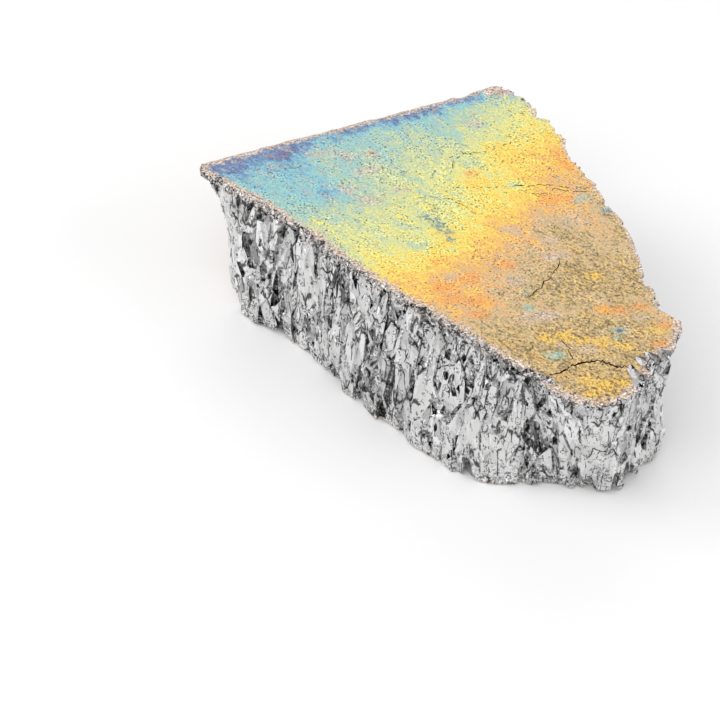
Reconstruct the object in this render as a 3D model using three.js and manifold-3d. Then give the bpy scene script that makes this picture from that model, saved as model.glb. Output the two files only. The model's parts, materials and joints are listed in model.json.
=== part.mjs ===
// A chunk of bismuth metal, knocked off the corner of a thick cast ingot. Millimetres, +Z up.
//
// It is one solid. What is left of the casting is the flat top, the flat underside and one leaning side wall
// whose upper edge swelled into a rounded lip as the metal set. The other sides are broken: there the metal
// parted along its grains, tall columns that grew from the cast faces inwards, so the break is a palisade of
// flat-sided columns with slanting ends.
//
// The solid is made as it came about: a rough block with broken sides, plus the grains that stand out of
// them, kept only where the ingot was.
//
// Frame: the origin is under the middle of the chunk, on the plane that it rests on. +X runs along the
// long broken face, +Y goes from that face to the back, and +Z goes up to the coloured cast top.

import * as THREE from "three";
import { mergeVertices } from "three/addons/utils/BufferGeometryUtils.js";
import Module from "manifold-3d";

const wasm = await Module();
wasm.setup();
const { degToRad, lerp } = THREE.MathUtils;

// Driving dimensions. The outline is drawn from the sharp corner, with the long broken face along X.
const THICKNESS = 30;
const CAST_WALL_START = [-1, 4.8];
const CAST_WALL_ANGLE = degToRad(64);
const CAST_WALL_REACH = 90; // past both ends of the chunk
const INGOT_WIDTH = 130; // past the far side of the chunk
const SKIN_DEPTH = 1.3; // of the firm cast skin under the top
const SKIN_TO_GRAINS = 0.9; // the height in which the wall steps back from the skin to the grains
const SKIN_OVERHANG = 0.7; // how far the skin stands out past the grains below it
const FOOT_CHAMFER = 0.5; // how much further back the very foot of the wall is
const GRAIN_SEED = 83;

// The edge of the top face where it is broken, counter-clockwise: x, y, and how far the foot of the wall
// stands out (+) or in (-) from the edge above it.
const BROKEN_EDGE = [
  // round the sharp corner
  [-6, 5.5, -12],
  [-1.2, 2.6, -12],
  [0.7, -0.2, -9],
  [3, -0.8, -4],
  // the long face
  [6, -0.2, 0.5],
  [11.8, 0.2, 2.8],
  [16.5, 0.6, 3],
  [21.2, 0.7, 1.8],
  [25.6, 0.2, 1.4],
  [30, 0.4, 2],
  [34.6, -0.3, 2.8],
  [39.2, -0.5, 4],
  [45.5, -0.6, 4.7],
  [52.2, -0.9, 5],
  [59.1, -0.4, 6.4],
  [63, -0.5, 5.8],
  [67.1, -0.1, 6],
  [71.3, -0.4, 6.2],
  [75.5, -0.2, 5],
  [79.4, 0.1, 2.4],
  [83.1, 0.2, -0.9],
  [86.5, -0.2, -4],
  // round the front lobe
  [89.6, 0, -5.5],
  [93.2, 0.4, -7.5],
  [96.8, 2.4, -6],
  [98.8, 5.6, -3.6],
  [99.5, 10.3, -2],
  [98.4, 14.7, -1],
  [97.1, 17.7, -1.5],
  [97.2, 20.5, -2.4],
  // the spur at the far corner
  [98.3, 22.9, -4.4],
  [96.8, 26, -6.5],
  [94.5, 28.9, -6.5],
  [91.9, 29, -4.5],
  [89.3, 29.1, -2.5],
  // the back face, broken in steps
  [85.9, 32, -0.5],
  [82.8, 33.1, 0.5],
  [78.5, 36.9, -1],
  [74, 40.3, -2],
  [69.3, 43.1, -1.5],
  [64.9, 44.3, 0.5],
  [59.1, 47.5, 1.5],
  [55.6, 49.2, 0.5],
  [49.9, 50.6, -1],
  [45.4, 54.2, -2.5],
  [41.1, 55.9, -2],
  [37.2, 55.9, -1],
  [33, 58.2, -2.5],
  // out past the cast wall
  [29.2, 58.3, -3],
  [26.7, 57.2, -3],
  [20, 57.5, -3],
];
const PAST_THE_WALL = [
  [-10, 55, 0],
  [-22, 10, 0],
];
// The stretch of the edge that grains stand out of, as shares of its length.
const GRAINS_FROM = 0.035;
const GRAINS_TO = 0.985;

// The standing grains, in bands of columns one above another, which overlap, so that no level runs round
// the chunk. Each range is the least and the most; height is of a grain's middle.
const GRAIN_BANDS = [
  { height: [19, 24.5], length: [6, 10], width: [1.9, 3.8], depth: [2.4, 3.6], proud: [0.2, 0.9], spacing: 2.8 },
  { height: [8, 20], length: [9, 18], width: [2.6, 5.4], depth: [3, 4.6], proud: [0.2, 1.3], spacing: 2.5 },
  { height: [3, 8], length: [7, 13], width: [2.4, 4.8], depth: [3, 4.6], proud: [0.2, 1.1], spacing: 2.8 },
];

// How far down the wall each level of the block is, and how much of the foot's offset it has there.
const WALL_LEVELS = [
  { down: 0, foot: 0, inset: 0 },
  { down: SKIN_DEPTH, foot: 0.01, inset: 0 },
  { down: SKIN_DEPTH + SKIN_TO_GRAINS, foot: 0.06, inset: SKIN_OVERHANG },
  { down: 9, foot: 0.45, inset: SKIN_OVERHANG },
  { down: 18, foot: 0.8, inset: SKIN_OVERHANG },
  { down: 26, foot: 1, inset: SKIN_OVERHANG },
  { down: THICKNESS, foot: 1, inset: SKIN_OVERHANG + FOOT_CHAMFER },
];

// A repeatable source of numbers from 0 to 1.
function seededRandom(seed) {
  let state = seed;
  return () => {
    state = (state + 0x6d2b79f5) | 0;
    let t = Math.imul(state ^ (state >>> 15), 1 | state);
    t = (t + Math.imul(t ^ (t >>> 7), 61 | t)) ^ t;
    return ((t ^ (t >>> 14)) >>> 0) / 4294967296;
  };
}
const random = seededRandom(GRAIN_SEED);
const between = (low, high) => low + (high - low) * random();

// A closed three.js geometry as a solid that can be joined and cut.
function solidOf(geometry) {
  const bare = geometry.clone();
  bare.deleteAttribute("normal");
  bare.deleteAttribute("uv");
  const merged = mergeVertices(bare, 1e-4);
  return new wasm.Manifold(
    new wasm.Mesh({
      numProp: 3,
      vertProperties: new Float32Array(merged.attributes.position.array),
      triVerts: new Uint32Array(merged.index.array),
    }),
  );
}

function geometryOf(solid) {
  const mesh = solid.getMesh();
  const geometry = new THREE.BufferGeometry();
  geometry.setAttribute("position", new THREE.BufferAttribute(mesh.vertProperties, 3));
  geometry.setIndex(new THREE.BufferAttribute(mesh.triVerts, 1));
  return geometry;
}

// The outward directions of a closed counter-clockwise ring, one for each corner.
function outwardNormals(ring) {
  return ring.map((_, i) => {
    const before = ring[(i + ring.length - 1) % ring.length];
    const after = ring[(i + 1) % ring.length];
    return new THREE.Vector2(after[1] - before[1], before[0] - after[0]).normalize();
  });
}
const ring = [...BROKEN_EDGE, ...PAST_THE_WALL];
const ringNormals = outwardNormals(ring);

// The broken wall's offset outwards from the top edge, for a corner's foot and a depth below the top.
function wallOffset(foot, down) {
  const next = WALL_LEVELS.findIndex((level) => level.down >= down && level.down > 0);
  const low = WALL_LEVELS[next - 1];
  const high = WALL_LEVELS[next];
  const share = (down - low.down) / (high.down - low.down);
  return foot * lerp(low.foot, high.foot, share) - lerp(low.inset, high.inset, share);
}

// The block with broken sides, as a loft from the top edge down to the foot of the wall.
function brokenBlock() {
  const positions = [];
  for (const level of WALL_LEVELS)
    ring.forEach(([x, y, foot], i) => {
      const out = foot * level.foot - level.inset;
      positions.push(x + ringNormals[i].x * out, y + ringNormals[i].y * out, THICKNESS - level.down);
    });
  const count = ring.length;
  const faces = [];
  for (let level = 0; level < WALL_LEVELS.length - 1; level++)
    for (let i = 0; i < count; i++) {
      const upper = level * count;
      const lower = upper + count;
      const j = (i + 1) % count;
      faces.push(lower + i, upper + j, upper + i);
      faces.push(lower + i, lower + j, upper + j);
    }
  const cornersFrom = (first) =>
    ring.map((_, i) => new THREE.Vector2(positions[(first + i) * 3], positions[(first + i) * 3 + 1]));
  for (const [a, b, c] of THREE.ShapeUtils.triangulateShape(cornersFrom(0), [])) faces.push(a, b, c);
  const foot = (WALL_LEVELS.length - 1) * count;
  for (const [a, b, c] of THREE.ShapeUtils.triangulateShape(cornersFrom(foot), []))
    faces.push(foot + c, foot + b, foot + a);
  const geometry = new THREE.BufferGeometry();
  geometry.setAttribute("position", new THREE.Float32BufferAttribute(positions, 3));
  geometry.setIndex(faces);
  return geometry;
}

// The ingot's section across its cast wall: u is how far in from the lip's outermost line, z is height.
function ingotSection() {
  const section = new THREE.Shape();
  section.moveTo(INGOT_WIDTH, 0);
  section.lineTo(12.5, 0);
  section.quadraticCurveTo(10.8, 0.1, 10.4, 2.2);
  section.bezierCurveTo(9.6, 8, 8.4, 14, 7.4, 20);
  section.bezierCurveTo(6.9, 23, 3, 23.2, 1.2, 25.2);
  section.bezierCurveTo(-0.4, 27, -0.2, 29.2, 2, THICKNESS - 0.15);
  section.quadraticCurveTo(3, THICKNESS, 4.5, THICKNESS);
  section.lineTo(INGOT_WIDTH, THICKNESS);
  section.closePath();
  return section;
}

// The part of the ingot round the chunk: its section, drawn out along the cast wall.
function ingot() {
  const geometry = new THREE.ExtrudeGeometry(ingotSection(), {
    depth: 2 * CAST_WALL_REACH,
    steps: 1,
    curveSegments: 5,
    bevelEnabled: false,
  });
  // The section is drawn in X and Y and runs along Z: u becomes inwards, height becomes up.
  const along = new THREE.Vector3(Math.cos(CAST_WALL_ANGLE), Math.sin(CAST_WALL_ANGLE), 0);
  const inwards = new THREE.Vector3(along.y, -along.x, 0);
  const up = new THREE.Vector3(0, 0, 1);
  const place = new THREE.Matrix4().makeBasis(inwards, up, along.clone().negate());
  const end = new THREE.Vector3(...CAST_WALL_START, 0).addScaledVector(along, CAST_WALL_REACH);
  place.setPosition(end);
  return geometry.applyMatrix4(place);
}

// One grain: a prism of a few flat sides round Z, uneven in section, tapering. It faces -Y, and its ends
// slope back from that face into the wall.
function grain({ width, depth, length, sides, taper }) {
  const geometry = new THREE.CylinderGeometry(0.5 * taper, 0.5, 1, sides, 1);
  geometry.rotateX(Math.PI / 2);
  const phase = between(0, 2 * Math.PI);
  const uneven = between(0.1, 0.3);
  const slants = [-1, 1].map((end) => [between(-0.8, 0.8), end * between(0.9, 2.4)]);
  const position = geometry.attributes.position;
  for (let i = 0; i < position.count; i++) {
    const [x, y, z] = [position.getX(i), position.getY(i), position.getZ(i)];
    const reach = 1 + uneven * Math.sin(2 * Math.atan2(y, x) + phase);
    const at = [x * reach * width, y * reach * depth];
    const [slantX, slantY] = slants[z > 0 ? 1 : 0];
    position.setXYZ(i, at[0], at[1], z * length + slantX * at[0] + slantY * at[1]);
  }
  return geometry;
}

// The broken edge as a line that can be asked for its place, foot and outward direction at any length.
function brokenEdgeLine() {
  const lengths = [0];
  for (let i = 1; i < BROKEN_EDGE.length; i++) {
    const [x0, y0] = BROKEN_EDGE[i - 1];
    const [x1, y1] = BROKEN_EDGE[i];
    lengths.push(lengths[i - 1] + Math.hypot(x1 - x0, y1 - y0));
  }
  const total = lengths[lengths.length - 1];
  const at = (s) => {
    const i = Math.min(BROKEN_EDGE.length - 2, lengths.findIndex((_, k) => lengths[k + 1] >= s));
    const share = (s - lengths[i]) / (lengths[i + 1] - lengths[i]);
    const [x, y, foot] = BROKEN_EDGE[i].map((value, k) => lerp(value, BROKEN_EDGE[i + 1][k], share));
    return { x, y, foot, out: ringNormals[i].clone().lerp(ringNormals[i + 1], share).normalize() };
  };
  return { total, at };
}
const edgeLine = brokenEdgeLine();

// A grain in place: standing in the wall at a length along the edge and a height, its face just proud of it.
function placedGrain(s, height, size, proud) {
  const lean = degToRad(11);
  const turn = degToRad(32);
  const { x, y, foot, out } = edgeLine.at(s);
  const offset = wallOffset(foot, THICKNESS - height) + proud - size.depth / 2;
  const geometry = grain(size);
  geometry.rotateZ(Math.atan2(out.y, out.x) + Math.PI / 2 + between(-turn, turn));
  geometry.rotateX(between(-lean, lean));
  geometry.rotateY(between(-lean, lean));
  return geometry.translate(x + out.x * offset, y + out.y * offset, height);
}

// The grains that stand out of the broken walls.
function standingGrains() {
  const grains = [];
  for (const band of GRAIN_BANDS) {
    let s = edgeLine.total * GRAINS_FROM;
    while (s < edgeLine.total * GRAINS_TO) {
      const size = {
        width: between(...band.width),
        depth: between(...band.depth),
        length: between(...band.length),
        sides: Math.round(between(4.6, 7.4)),
        taper: between(0.7, 1),
      };
      grains.push(placedGrain(s, between(...band.height), size, between(...band.proud)));
      s += band.spacing * between(0.7, 1.3);
    }
  }
  return grains;
}

// The largest of a solid's separate bodies, without any bubble that the grains shut in.
function largestBody(solid) {
  return solid.decompose().sort((a, b) => b.volume() - a.volume())[0];
}

const rough = wasm.Manifold.union([brokenBlock(), ...standingGrains()].map(solidOf));
const chunkGeometry = geometryOf(largestBody(rough.intersect(solidOf(ingot()))));

// The origin goes under the middle of the chunk, on the plane of its underside.
chunkGeometry.computeBoundingBox();
const middle = chunkGeometry.boundingBox.getCenter(new THREE.Vector3());
chunkGeometry.translate(-middle.x, -middle.y, -chunkGeometry.boundingBox.min.z);

const chunk = new THREE.Mesh(
  chunkGeometry,
  new THREE.MeshStandardMaterial({ color: 0xc4c4c8, roughness: 0.35, metalness: 1 }),
);
chunk.name = "bismuth_chunk";

const part = new THREE.Group();
part.add(chunk);
export default part;
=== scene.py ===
# %% [markdown]
# # A chunk of bismuth metal
#
# This lesson rebuilds a hand-sized chunk of bismuth, broken off the corner of a cast bar. A imported CAD
# model gives its true size and place; here it gets its looks. The chunk is one piece of metal with
# three kinds of surface: a flat cast top with rainbow oxide colours, cast skin on one side and below,
# and broken sides that show the metal's grains, tall flat-sided columns packed together.
#
# The first cell loads the CAD model and keeps its box.

import json
import math
import random
import time

import bpy
import numpy as np
from mathutils import Matrix, Vector
from mathutils.bvhtree import BVHTree

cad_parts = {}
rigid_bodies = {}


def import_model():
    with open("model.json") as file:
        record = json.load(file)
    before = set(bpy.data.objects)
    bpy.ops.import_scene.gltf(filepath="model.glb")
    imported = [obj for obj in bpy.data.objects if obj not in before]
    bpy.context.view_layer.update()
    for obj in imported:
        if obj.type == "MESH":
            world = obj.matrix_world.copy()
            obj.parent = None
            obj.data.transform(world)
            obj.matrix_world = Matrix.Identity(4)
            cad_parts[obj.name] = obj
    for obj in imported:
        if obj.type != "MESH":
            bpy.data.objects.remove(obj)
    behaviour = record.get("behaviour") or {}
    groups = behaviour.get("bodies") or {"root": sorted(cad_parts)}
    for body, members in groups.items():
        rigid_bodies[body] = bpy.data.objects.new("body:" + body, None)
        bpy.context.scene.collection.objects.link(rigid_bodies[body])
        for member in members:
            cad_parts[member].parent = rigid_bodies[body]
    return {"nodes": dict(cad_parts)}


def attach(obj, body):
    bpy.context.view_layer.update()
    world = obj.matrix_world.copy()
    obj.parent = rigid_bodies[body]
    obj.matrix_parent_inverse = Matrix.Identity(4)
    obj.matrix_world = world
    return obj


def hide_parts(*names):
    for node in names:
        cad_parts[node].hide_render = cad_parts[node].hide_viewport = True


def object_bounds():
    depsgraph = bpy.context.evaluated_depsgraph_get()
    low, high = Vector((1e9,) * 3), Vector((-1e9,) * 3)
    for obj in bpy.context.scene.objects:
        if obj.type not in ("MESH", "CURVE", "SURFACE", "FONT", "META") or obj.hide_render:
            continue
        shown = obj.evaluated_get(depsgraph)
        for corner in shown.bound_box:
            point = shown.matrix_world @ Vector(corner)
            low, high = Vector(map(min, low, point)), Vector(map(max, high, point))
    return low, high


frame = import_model()
cad_low, cad_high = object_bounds()
cad_chunk = frame["nodes"]["bismuth_chunk"]
mm = 0.001
began = time.time()
print("CAD box in mm:", [round(side / mm, 1) for side in cad_high - cad_low])


def seconds():
    """How long the script has run, for the prints."""
    return f"{time.time() - began:.0f} s"


def select_only(*things):
    """Operators act on all that is selected, so this leaves just these objects selected."""
    bpy.ops.object.select_all(action="DESELECT")
    for thing in things:
        thing.select_set(True)
    bpy.context.view_layer.objects.active = things[-1]


# %% [markdown]
# ## Camera
#
# The chunk is seen from its front right, half from above, through a long lens that hardly converges its
# edges. The camera looks at a point on the top plane in front of the chunk, so the chunk sits high and
# right of the middle.

# %% Place the camera
VIEW_AZIMUTH = math.radians(42.2)
VIEW_ELEVATION = math.radians(45)
VIEW_DISTANCE = 560 * mm
VIEW_LENS = 155.6
AIM_ALONG = 0.087
AIM_IN_FRONT = 0.664

length, width, thickness = cad_high - cad_low
middle = (cad_low + cad_high) / 2
aim = Vector((middle.x + AIM_ALONG * length, middle.y - AIM_IN_FRONT * width, cad_high.z))
towards_camera = Vector((
    math.sin(VIEW_AZIMUTH) * math.cos(VIEW_ELEVATION),
    -math.cos(VIEW_AZIMUTH) * math.cos(VIEW_ELEVATION),
    math.sin(VIEW_ELEVATION),
))
bpy.ops.object.camera_add(
    location=aim + VIEW_DISTANCE * towards_camera,
    rotation=towards_camera.to_track_quat("Z", "Y").to_euler(),
)
camera = bpy.context.object
camera.data.lens = VIEW_LENS
camera.data.clip_start = 10 * mm
bpy.context.scene.camera = camera
print("camera at", [round(x, 3) for x in camera.location])

# %% [markdown]
# ## Light and floor
#
# Bare metal shows what stands round it. Large soft boxes give it bright, even planes to mirror, and the
# darker room between them gives its turned facets their greys.

# %% Set up the studio
FLOOR_SIZE = 4
ROOM_LIGHT = 0.5

bpy.ops.mesh.primitive_plane_add(size=FLOOR_SIZE)
floor = bpy.context.object
floor.name = "studio_floor"
floor_paint = bpy.data.materials.new("pale floor")
floor_paint.use_nodes = True
floor_shader = floor_paint.node_tree.nodes["Principled BSDF"]
floor_shader.inputs["Base Color"].default_value = (0.9, 0.9, 0.9, 1)
floor_shader.inputs["Roughness"].default_value = 0.9
floor_shader.inputs["Specular IOR Level"].default_value = 0.1
floor.data.materials.append(floor_paint)

room = bpy.data.worlds.new("studio room")
room.use_nodes = True
room_light = room.node_tree.nodes["Background"]
room_light.inputs["Color"].default_value = (1, 1, 1, 1)
room_light.inputs["Strength"].default_value = ROOM_LIGHT
bpy.context.scene.world = room
bpy.context.scene.view_settings.view_transform = "Standard"


def soft_box(name, azimuth, elevation, distance, size, power):
    """A square area light that looks at the chunk from a direction; azimuth 0 is the front."""
    turn, rise = math.radians(azimuth), math.radians(elevation)
    direction = Vector((math.sin(turn) * math.cos(rise), -math.cos(turn) * math.cos(rise), math.sin(rise)))
    bpy.ops.object.light_add(
        type="AREA",
        location=middle + distance * direction,
        rotation=direction.to_track_quat("Z", "Y").to_euler(),
    )
    box = bpy.context.object
    box.name = name
    box.data.size = size
    box.data.energy = power
    return box


soft_box("top_box", 15, 62, 1.0, 0.84, 4.4)
soft_box("left_box", -60, 35, 0.8, 0.42, 1.8)
soft_box("right_box", 110, 30, 0.8, 0.42, 1.5)
soft_box("back_box", 215, 40, 1.0, 0.7, 1.4)
print("studio: a floor, a room and 4 soft boxes")

# %% [markdown]
# ## The cast skin
#
# The bar was poured into an open mould. Its top set flat, its side wall leans in below a swollen
# rounded lip, and its floor is flat. A section of the bar is drawn as a closed ring of points and a
# Screw modifier with no turn draws it out along the wall, with rings close enough together to carry the
# skin's dimples. Everything that the breaking took away is cut off later, so here the bar is simply
# longer and wider than the chunk.

# %% Draw the bar's section
WALL_ANGLE = math.radians(64)
along_wall = Vector((math.cos(WALL_ANGLE), math.sin(WALL_ANGLE), 0))
out_of_wall = Vector((-math.sin(WALL_ANGLE), math.cos(WALL_ANGLE), 0))
SKIN_CELL = 0.5 * mm
FLOOR_CELL = 1.4 * mm
SKIN_MARGIN = 0.05 * mm
FLOOR_LEVEL = 0.25
SPARE = 2 * mm
CURVE_SAMPLES = 200

cad_points = np.array([v.co for v in cad_chunk.data.vertices])
out_reach = cad_points @ np.array(out_of_wall)
along_reach = cad_points @ np.array(along_wall)
lip_line = out_reach.max()
bar_width = lip_line - out_reach.min() + SPARE
bar_start = along_reach.min() - SPARE
bar_length = along_reach.max() + SPARE - bar_start


def bezier(points, step):
    """Evenly spaced points on a Bezier curve, from its control points, without the last one."""
    controls = np.array(points) * mm
    t = np.linspace(0, 1, CURVE_SAMPLES)[:, None]
    order = len(controls) - 1
    weights = [math.comb(order, k) * t**k * (1 - t) ** (order - k) for k in range(order + 1)]
    curve = sum(w * c for w, c in zip(weights, controls))
    run = np.r_[0, np.cumsum(np.linalg.norm(np.diff(curve, axis=0), axis=1))]
    at = np.linspace(0, run[-1], max(2, round(run[-1] / step) + 1))[:-1]
    return np.c_[np.interp(at, run, curve[:, 0]), np.interp(at, run, curve[:, 1])]


# Places in the section are in mm: how far in from the lip's outermost line, and how high.
top_level = thickness / mm - SKIN_MARGIN / mm
far_side = bar_width / mm
section = np.vstack([
    bezier([(far_side, FLOOR_LEVEL), (12.8, FLOOR_LEVEL)], FLOOR_CELL),
    bezier([(12.8, FLOOR_LEVEL), (11.1, 0.3), (10.7, 2.2)], SKIN_CELL),
    bezier([(10.7, 2.2), (9.9, 8), (8.7, 14), (7.7, 20)], SKIN_CELL),
    bezier([(7.7, 20), (7.2, 23.2), (3.2, 23.4), (1.3, 25.3)], SKIN_CELL),
    bezier([(1.3, 25.3), (-0.3, 27), (-0.1, 29.2), (2.0, top_level - 0.1)], SKIN_CELL),
    bezier([(2.0, top_level - 0.1), (3.2, top_level), (4.7, top_level)], SKIN_CELL),
    bezier([(4.7, top_level), (far_side, top_level)], SKIN_CELL),
    [(bar_width, top_level * mm)],
])
bpy.ops.mesh.primitive_circle_add(vertices=len(section), fill_type="NOTHING")
bar = bpy.context.object
bar.name = "cast_bar"
for vertex, (inwards, height) in zip(bar.data.vertices, section):
    vertex.co = (inwards, height, 0)
print(len(section), "points in the section")

# %% Draw the section out along the wall
screw = bar.modifiers.new("draw out", "SCREW")
screw.angle = 0
screw.axis = "Z"
screw.screw_offset = bar_length
screw.steps = screw.render_steps = round(bar_length / SKIN_CELL)
screw.use_smooth_shade = False
bpy.ops.object.modifier_apply(modifier="draw out")
place = Matrix((
    (-out_of_wall.x, 0, along_wall.x, out_of_wall.x * lip_line + along_wall.x * bar_start),
    (-out_of_wall.y, 0, along_wall.y, out_of_wall.y * lip_line + along_wall.y * bar_start),
    (0, 1, 0, 0),
    (0, 0, 0, 1),
))
bar.data.transform(place)
bpy.ops.object.mode_set(mode="EDIT")
bpy.ops.mesh.select_all(action="DESELECT")
bpy.ops.mesh.select_mode(type="EDGE")
bpy.ops.mesh.select_non_manifold()
bpy.ops.mesh.fill_holes(sides=0)
bpy.ops.mesh.select_all(action="SELECT")
bpy.ops.mesh.normals_make_consistent(inside=False)
bpy.ops.object.mode_set(mode="OBJECT")
print("bar:", len(bar.data.polygons), "faces")

# %% [markdown]
# ## Dimples in the skin
#
# A cast skin is never smooth: it sags between the grains as they set and shrinks into small dimples.
# Three Displace modifiers lay slow swells, dimples and a fine grain over each other, and where the
# floor side would sink through the table it is pressed flat.

# %% Displace the skin inwards
SKIN_RELIEF = [
    ("swells", 9 * mm, 0.42 * mm),
    ("dimples", 2.4 * mm, 0.3 * mm),
    ("grain", 1.1 * mm, 0.16 * mm),
]

for name, size, depth in SKIN_RELIEF:
    clouds = bpy.data.textures.new(name, "CLOUDS")
    clouds.noise_scale = size
    clouds.noise_depth = 1
    relief = bar.modifiers.new(name, "DISPLACE")
    relief.texture = clouds
    relief.texture_coords = "LOCAL"
    relief.strength = depth
    relief.mid_level = 0.6
    select_only(bar)
    bpy.ops.object.modifier_apply(modifier=name)
for vertex in bar.data.vertices:
    vertex.co.z = max(vertex.co.z, 0)
print("skin relief:", round(sum(depth for _, _, depth in SKIN_RELIEF) / mm, 2), "mm at most")

# %% [markdown]
# ## The sunken lobe
#
# A crack runs across the front of the top in a bow, and the metal beyond it has sunk by half a
# millimetre. The skin there is let down before anything is cut, and the crack is cut at the very end.

# %% Let the lobe down
MAIN_CRACK = [(36.3, -23.8), (37.1, -21.2), (37.9, -18.8), (38.7, -16.7), (40.3, -14.9), (41.8, -13.9),
              (43.4, -13.6), (44.9, -12.9), (46.2, -11.9)]
LOBE_DROP = 0.45 * mm
LOBE_SLOPE = 3 * mm
LOBE_REACHES_DOWN = 20 * mm

crack_ends = np.array([MAIN_CRACK[0], MAIN_CRACK[-1]]) * mm
chord = (crack_ends[1] - crack_ends[0]) / np.linalg.norm(crack_ends[1] - crack_ends[0])
over_chord = np.array([chord[1], -chord[0]])
crack_points = np.array(MAIN_CRACK) * mm - crack_ends[0]
lowered = 0
for vertex in bar.data.vertices:
    if vertex.co.z > LOBE_REACHES_DOWN:
        from_start = np.array(vertex.co.xy) - crack_ends[0]
        bow = np.interp(from_start @ chord, crack_points @ chord, crack_points @ over_chord)
        beyond_crack = from_start @ over_chord - bow
        if beyond_crack > 0:
            vertex.co.z -= LOBE_DROP * min(1, 0.4 + beyond_crack / LOBE_SLOPE)
            lowered += 1
print(lowered, "corners of the skin let down")

# %% [markdown]
# ## Lumps by the far corner
#
# Where the lip meets the far broken side the skin is lumpy: two small rises and a dent between them.
# Each is a bell-shaped shift of the skin's corners, by its place, radius and rise in mm.

# %% Raise the lumps
LUMPS = [(-22.2, 30, 2.1, 0.75), (-26.5, 24.8, 1.3, -0.45), (-24.3, 27.2, 1, 0.4)]
LUMPS_REACH_DOWN = 26 * mm

for x, y, radius, rise in LUMPS:
    for vertex in bar.data.vertices:
        if vertex.co.z > LUMPS_REACH_DOWN:
            distance = (vertex.co.xy - Vector((x, y)) * mm).length / (radius * mm)
            vertex.co.z += rise * mm * math.exp(-(distance**2))
print(len(LUMPS), "lumps and dents")

# %% [markdown]
# ## The rough chunk
#
# A copy of the CAD solid is the rough chunk that the grains are set in. The CAD mesh is loose
# triangles, so the copy is merged first. Booleans keep each face's material, so the copy, the bar and
# the grains get theirs now, and every face will know afterwards whether it is cast skin or broken
# metal.

# %% Copy the CAD solid and merge it
cast_skin = bpy.data.materials.new("oxide on the cast skin")
broken_metal = bpy.data.materials.new("broken bismuth")
bar.data.materials.append(cast_skin)

rough_chunk = cad_chunk.copy()
rough_chunk.data = cad_chunk.data.copy()
rough_chunk.name = "rough_chunk"
for key in list(rough_chunk.keys()):
    del rough_chunk[key]
rough_chunk.parent = None
bpy.context.scene.collection.objects.link(rough_chunk)
rough_chunk.data.materials.clear()
rough_chunk.data.materials.append(broken_metal)
select_only(rough_chunk)
bpy.ops.object.mode_set(mode="EDIT")
bpy.ops.mesh.select_all(action="SELECT")
bpy.ops.mesh.remove_doubles(threshold=0.001 * mm)
bpy.ops.object.mode_set(mode="OBJECT")
print("rough chunk:", len(rough_chunk.data.polygons), "triangles")

# %% [markdown]
# ## Measuring the broken side
#
# Every grain needs a place: how far along the broken edge it stands, and how high up. So the top edge
# of the rough chunk is walked corner by corner, from the sharp corner by the lip to the far one, and
# level rays find how far the side stands in or out from that edge at a few heights. The numbers are
# evened out, because the rough side is bumpy too, and a few listed shifts press the side in or pull it
# out where the metal does so more than the rough chunk.

# %% Walk along the broken edge
NEAR_LIP = 5 * mm
SHARP_CORNER = np.array([(-55, -19.4), (-51.4, -21.3), (-50.4, -23.2), (-49.4, -25.1), (-48, -26.3)]) * mm
FAR_CORNER = np.array([(-18, 32.8), (-19.8, 32.7), (-21.4, 32.1), (-22.6, 31.2), (-29, 30.5)]) * mm
SAME_LEVEL = 0.01 * mm


def top_edge(mesh):
    """The outline of a solid's flat top, in order, from the open edges of its top faces."""
    height = max(v.co.z for v in mesh.vertices)
    sides = set()
    for face in mesh.polygons:
        if all(height - mesh.vertices[i].co.z < SAME_LEVEL for i in face.vertices):
            corners = list(face.vertices)
            sides.update(zip(corners, corners[1:] + corners[:1]))
    onwards = {a: b for a, b in sides if (b, a) not in sides}
    loop = [min(onwards)]
    while onwards[loop[-1]] != loop[0]:
        loop.append(onwards[loop[-1]])
    return np.array([mesh.vertices[i].co.xy for i in loop])


outline = top_edge(rough_chunk.data)
inwards = lip_line - outline @ np.array(out_of_wall.xy)
start = next(i for i in range(len(outline)) if inwards[i - 1] < NEAR_LIP <= inwards[i])
outline, inwards = np.roll(outline, -start, axis=0), np.roll(inwards, -start)
broken_edge = outline[: np.argmax(inwards < NEAR_LIP)]
broken_edge = np.vstack([SHARP_CORNER, broken_edge, FAR_CORNER])
edge_run = np.r_[0, np.cumsum(np.linalg.norm(np.diff(broken_edge, axis=0), axis=1))]
edge_length = edge_run[-1]
print("broken edge:", round(edge_length / mm), "mm, from", broken_edge[0] / mm, "to", broken_edge[-1] / mm)


def edge_point(run):
    """The place on the broken edge at a distance along it."""
    return np.array([np.interp(run, edge_run, broken_edge[:, i]) for i in range(2)])


def way_out(run, reach=3 * mm):
    """The level direction out of the broken side, evened out over a stretch of the edge."""
    along = edge_point(run + reach) - edge_point(run - reach)
    return Vector((along[1], -along[0], 0)).normalized()


# %% Measure the broken wall
BACK_FACING = 0.3
WALL_RUNS = np.arange(0, edge_length + 1 * mm, 2 * mm)
WALL_HEIGHTS = np.array([0.7, 5, 10, 15, 20, 24, 27.5, 29.8]) * mm
RAY_START = 12
RAY_REACH = 30 * mm
MOST_OFFSET = 9 * mm
cad_wall = BVHTree.FromObject(rough_chunk, bpy.context.evaluated_depsgraph_get())


def wall_offset(run, height):
    """How far the broken wall stands out from the top edge at a height, or NaN where there is no wall."""
    out = way_out(run)
    edge = Vector((*edge_point(run), height))
    hit = cad_wall.ray_cast(edge + out * RAY_START * mm, -out, RAY_REACH)[0]
    if hit is None:
        return math.nan
    offset = (hit - edge).dot(out)
    return offset if abs(offset) < MOST_OFFSET else math.nan


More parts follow.
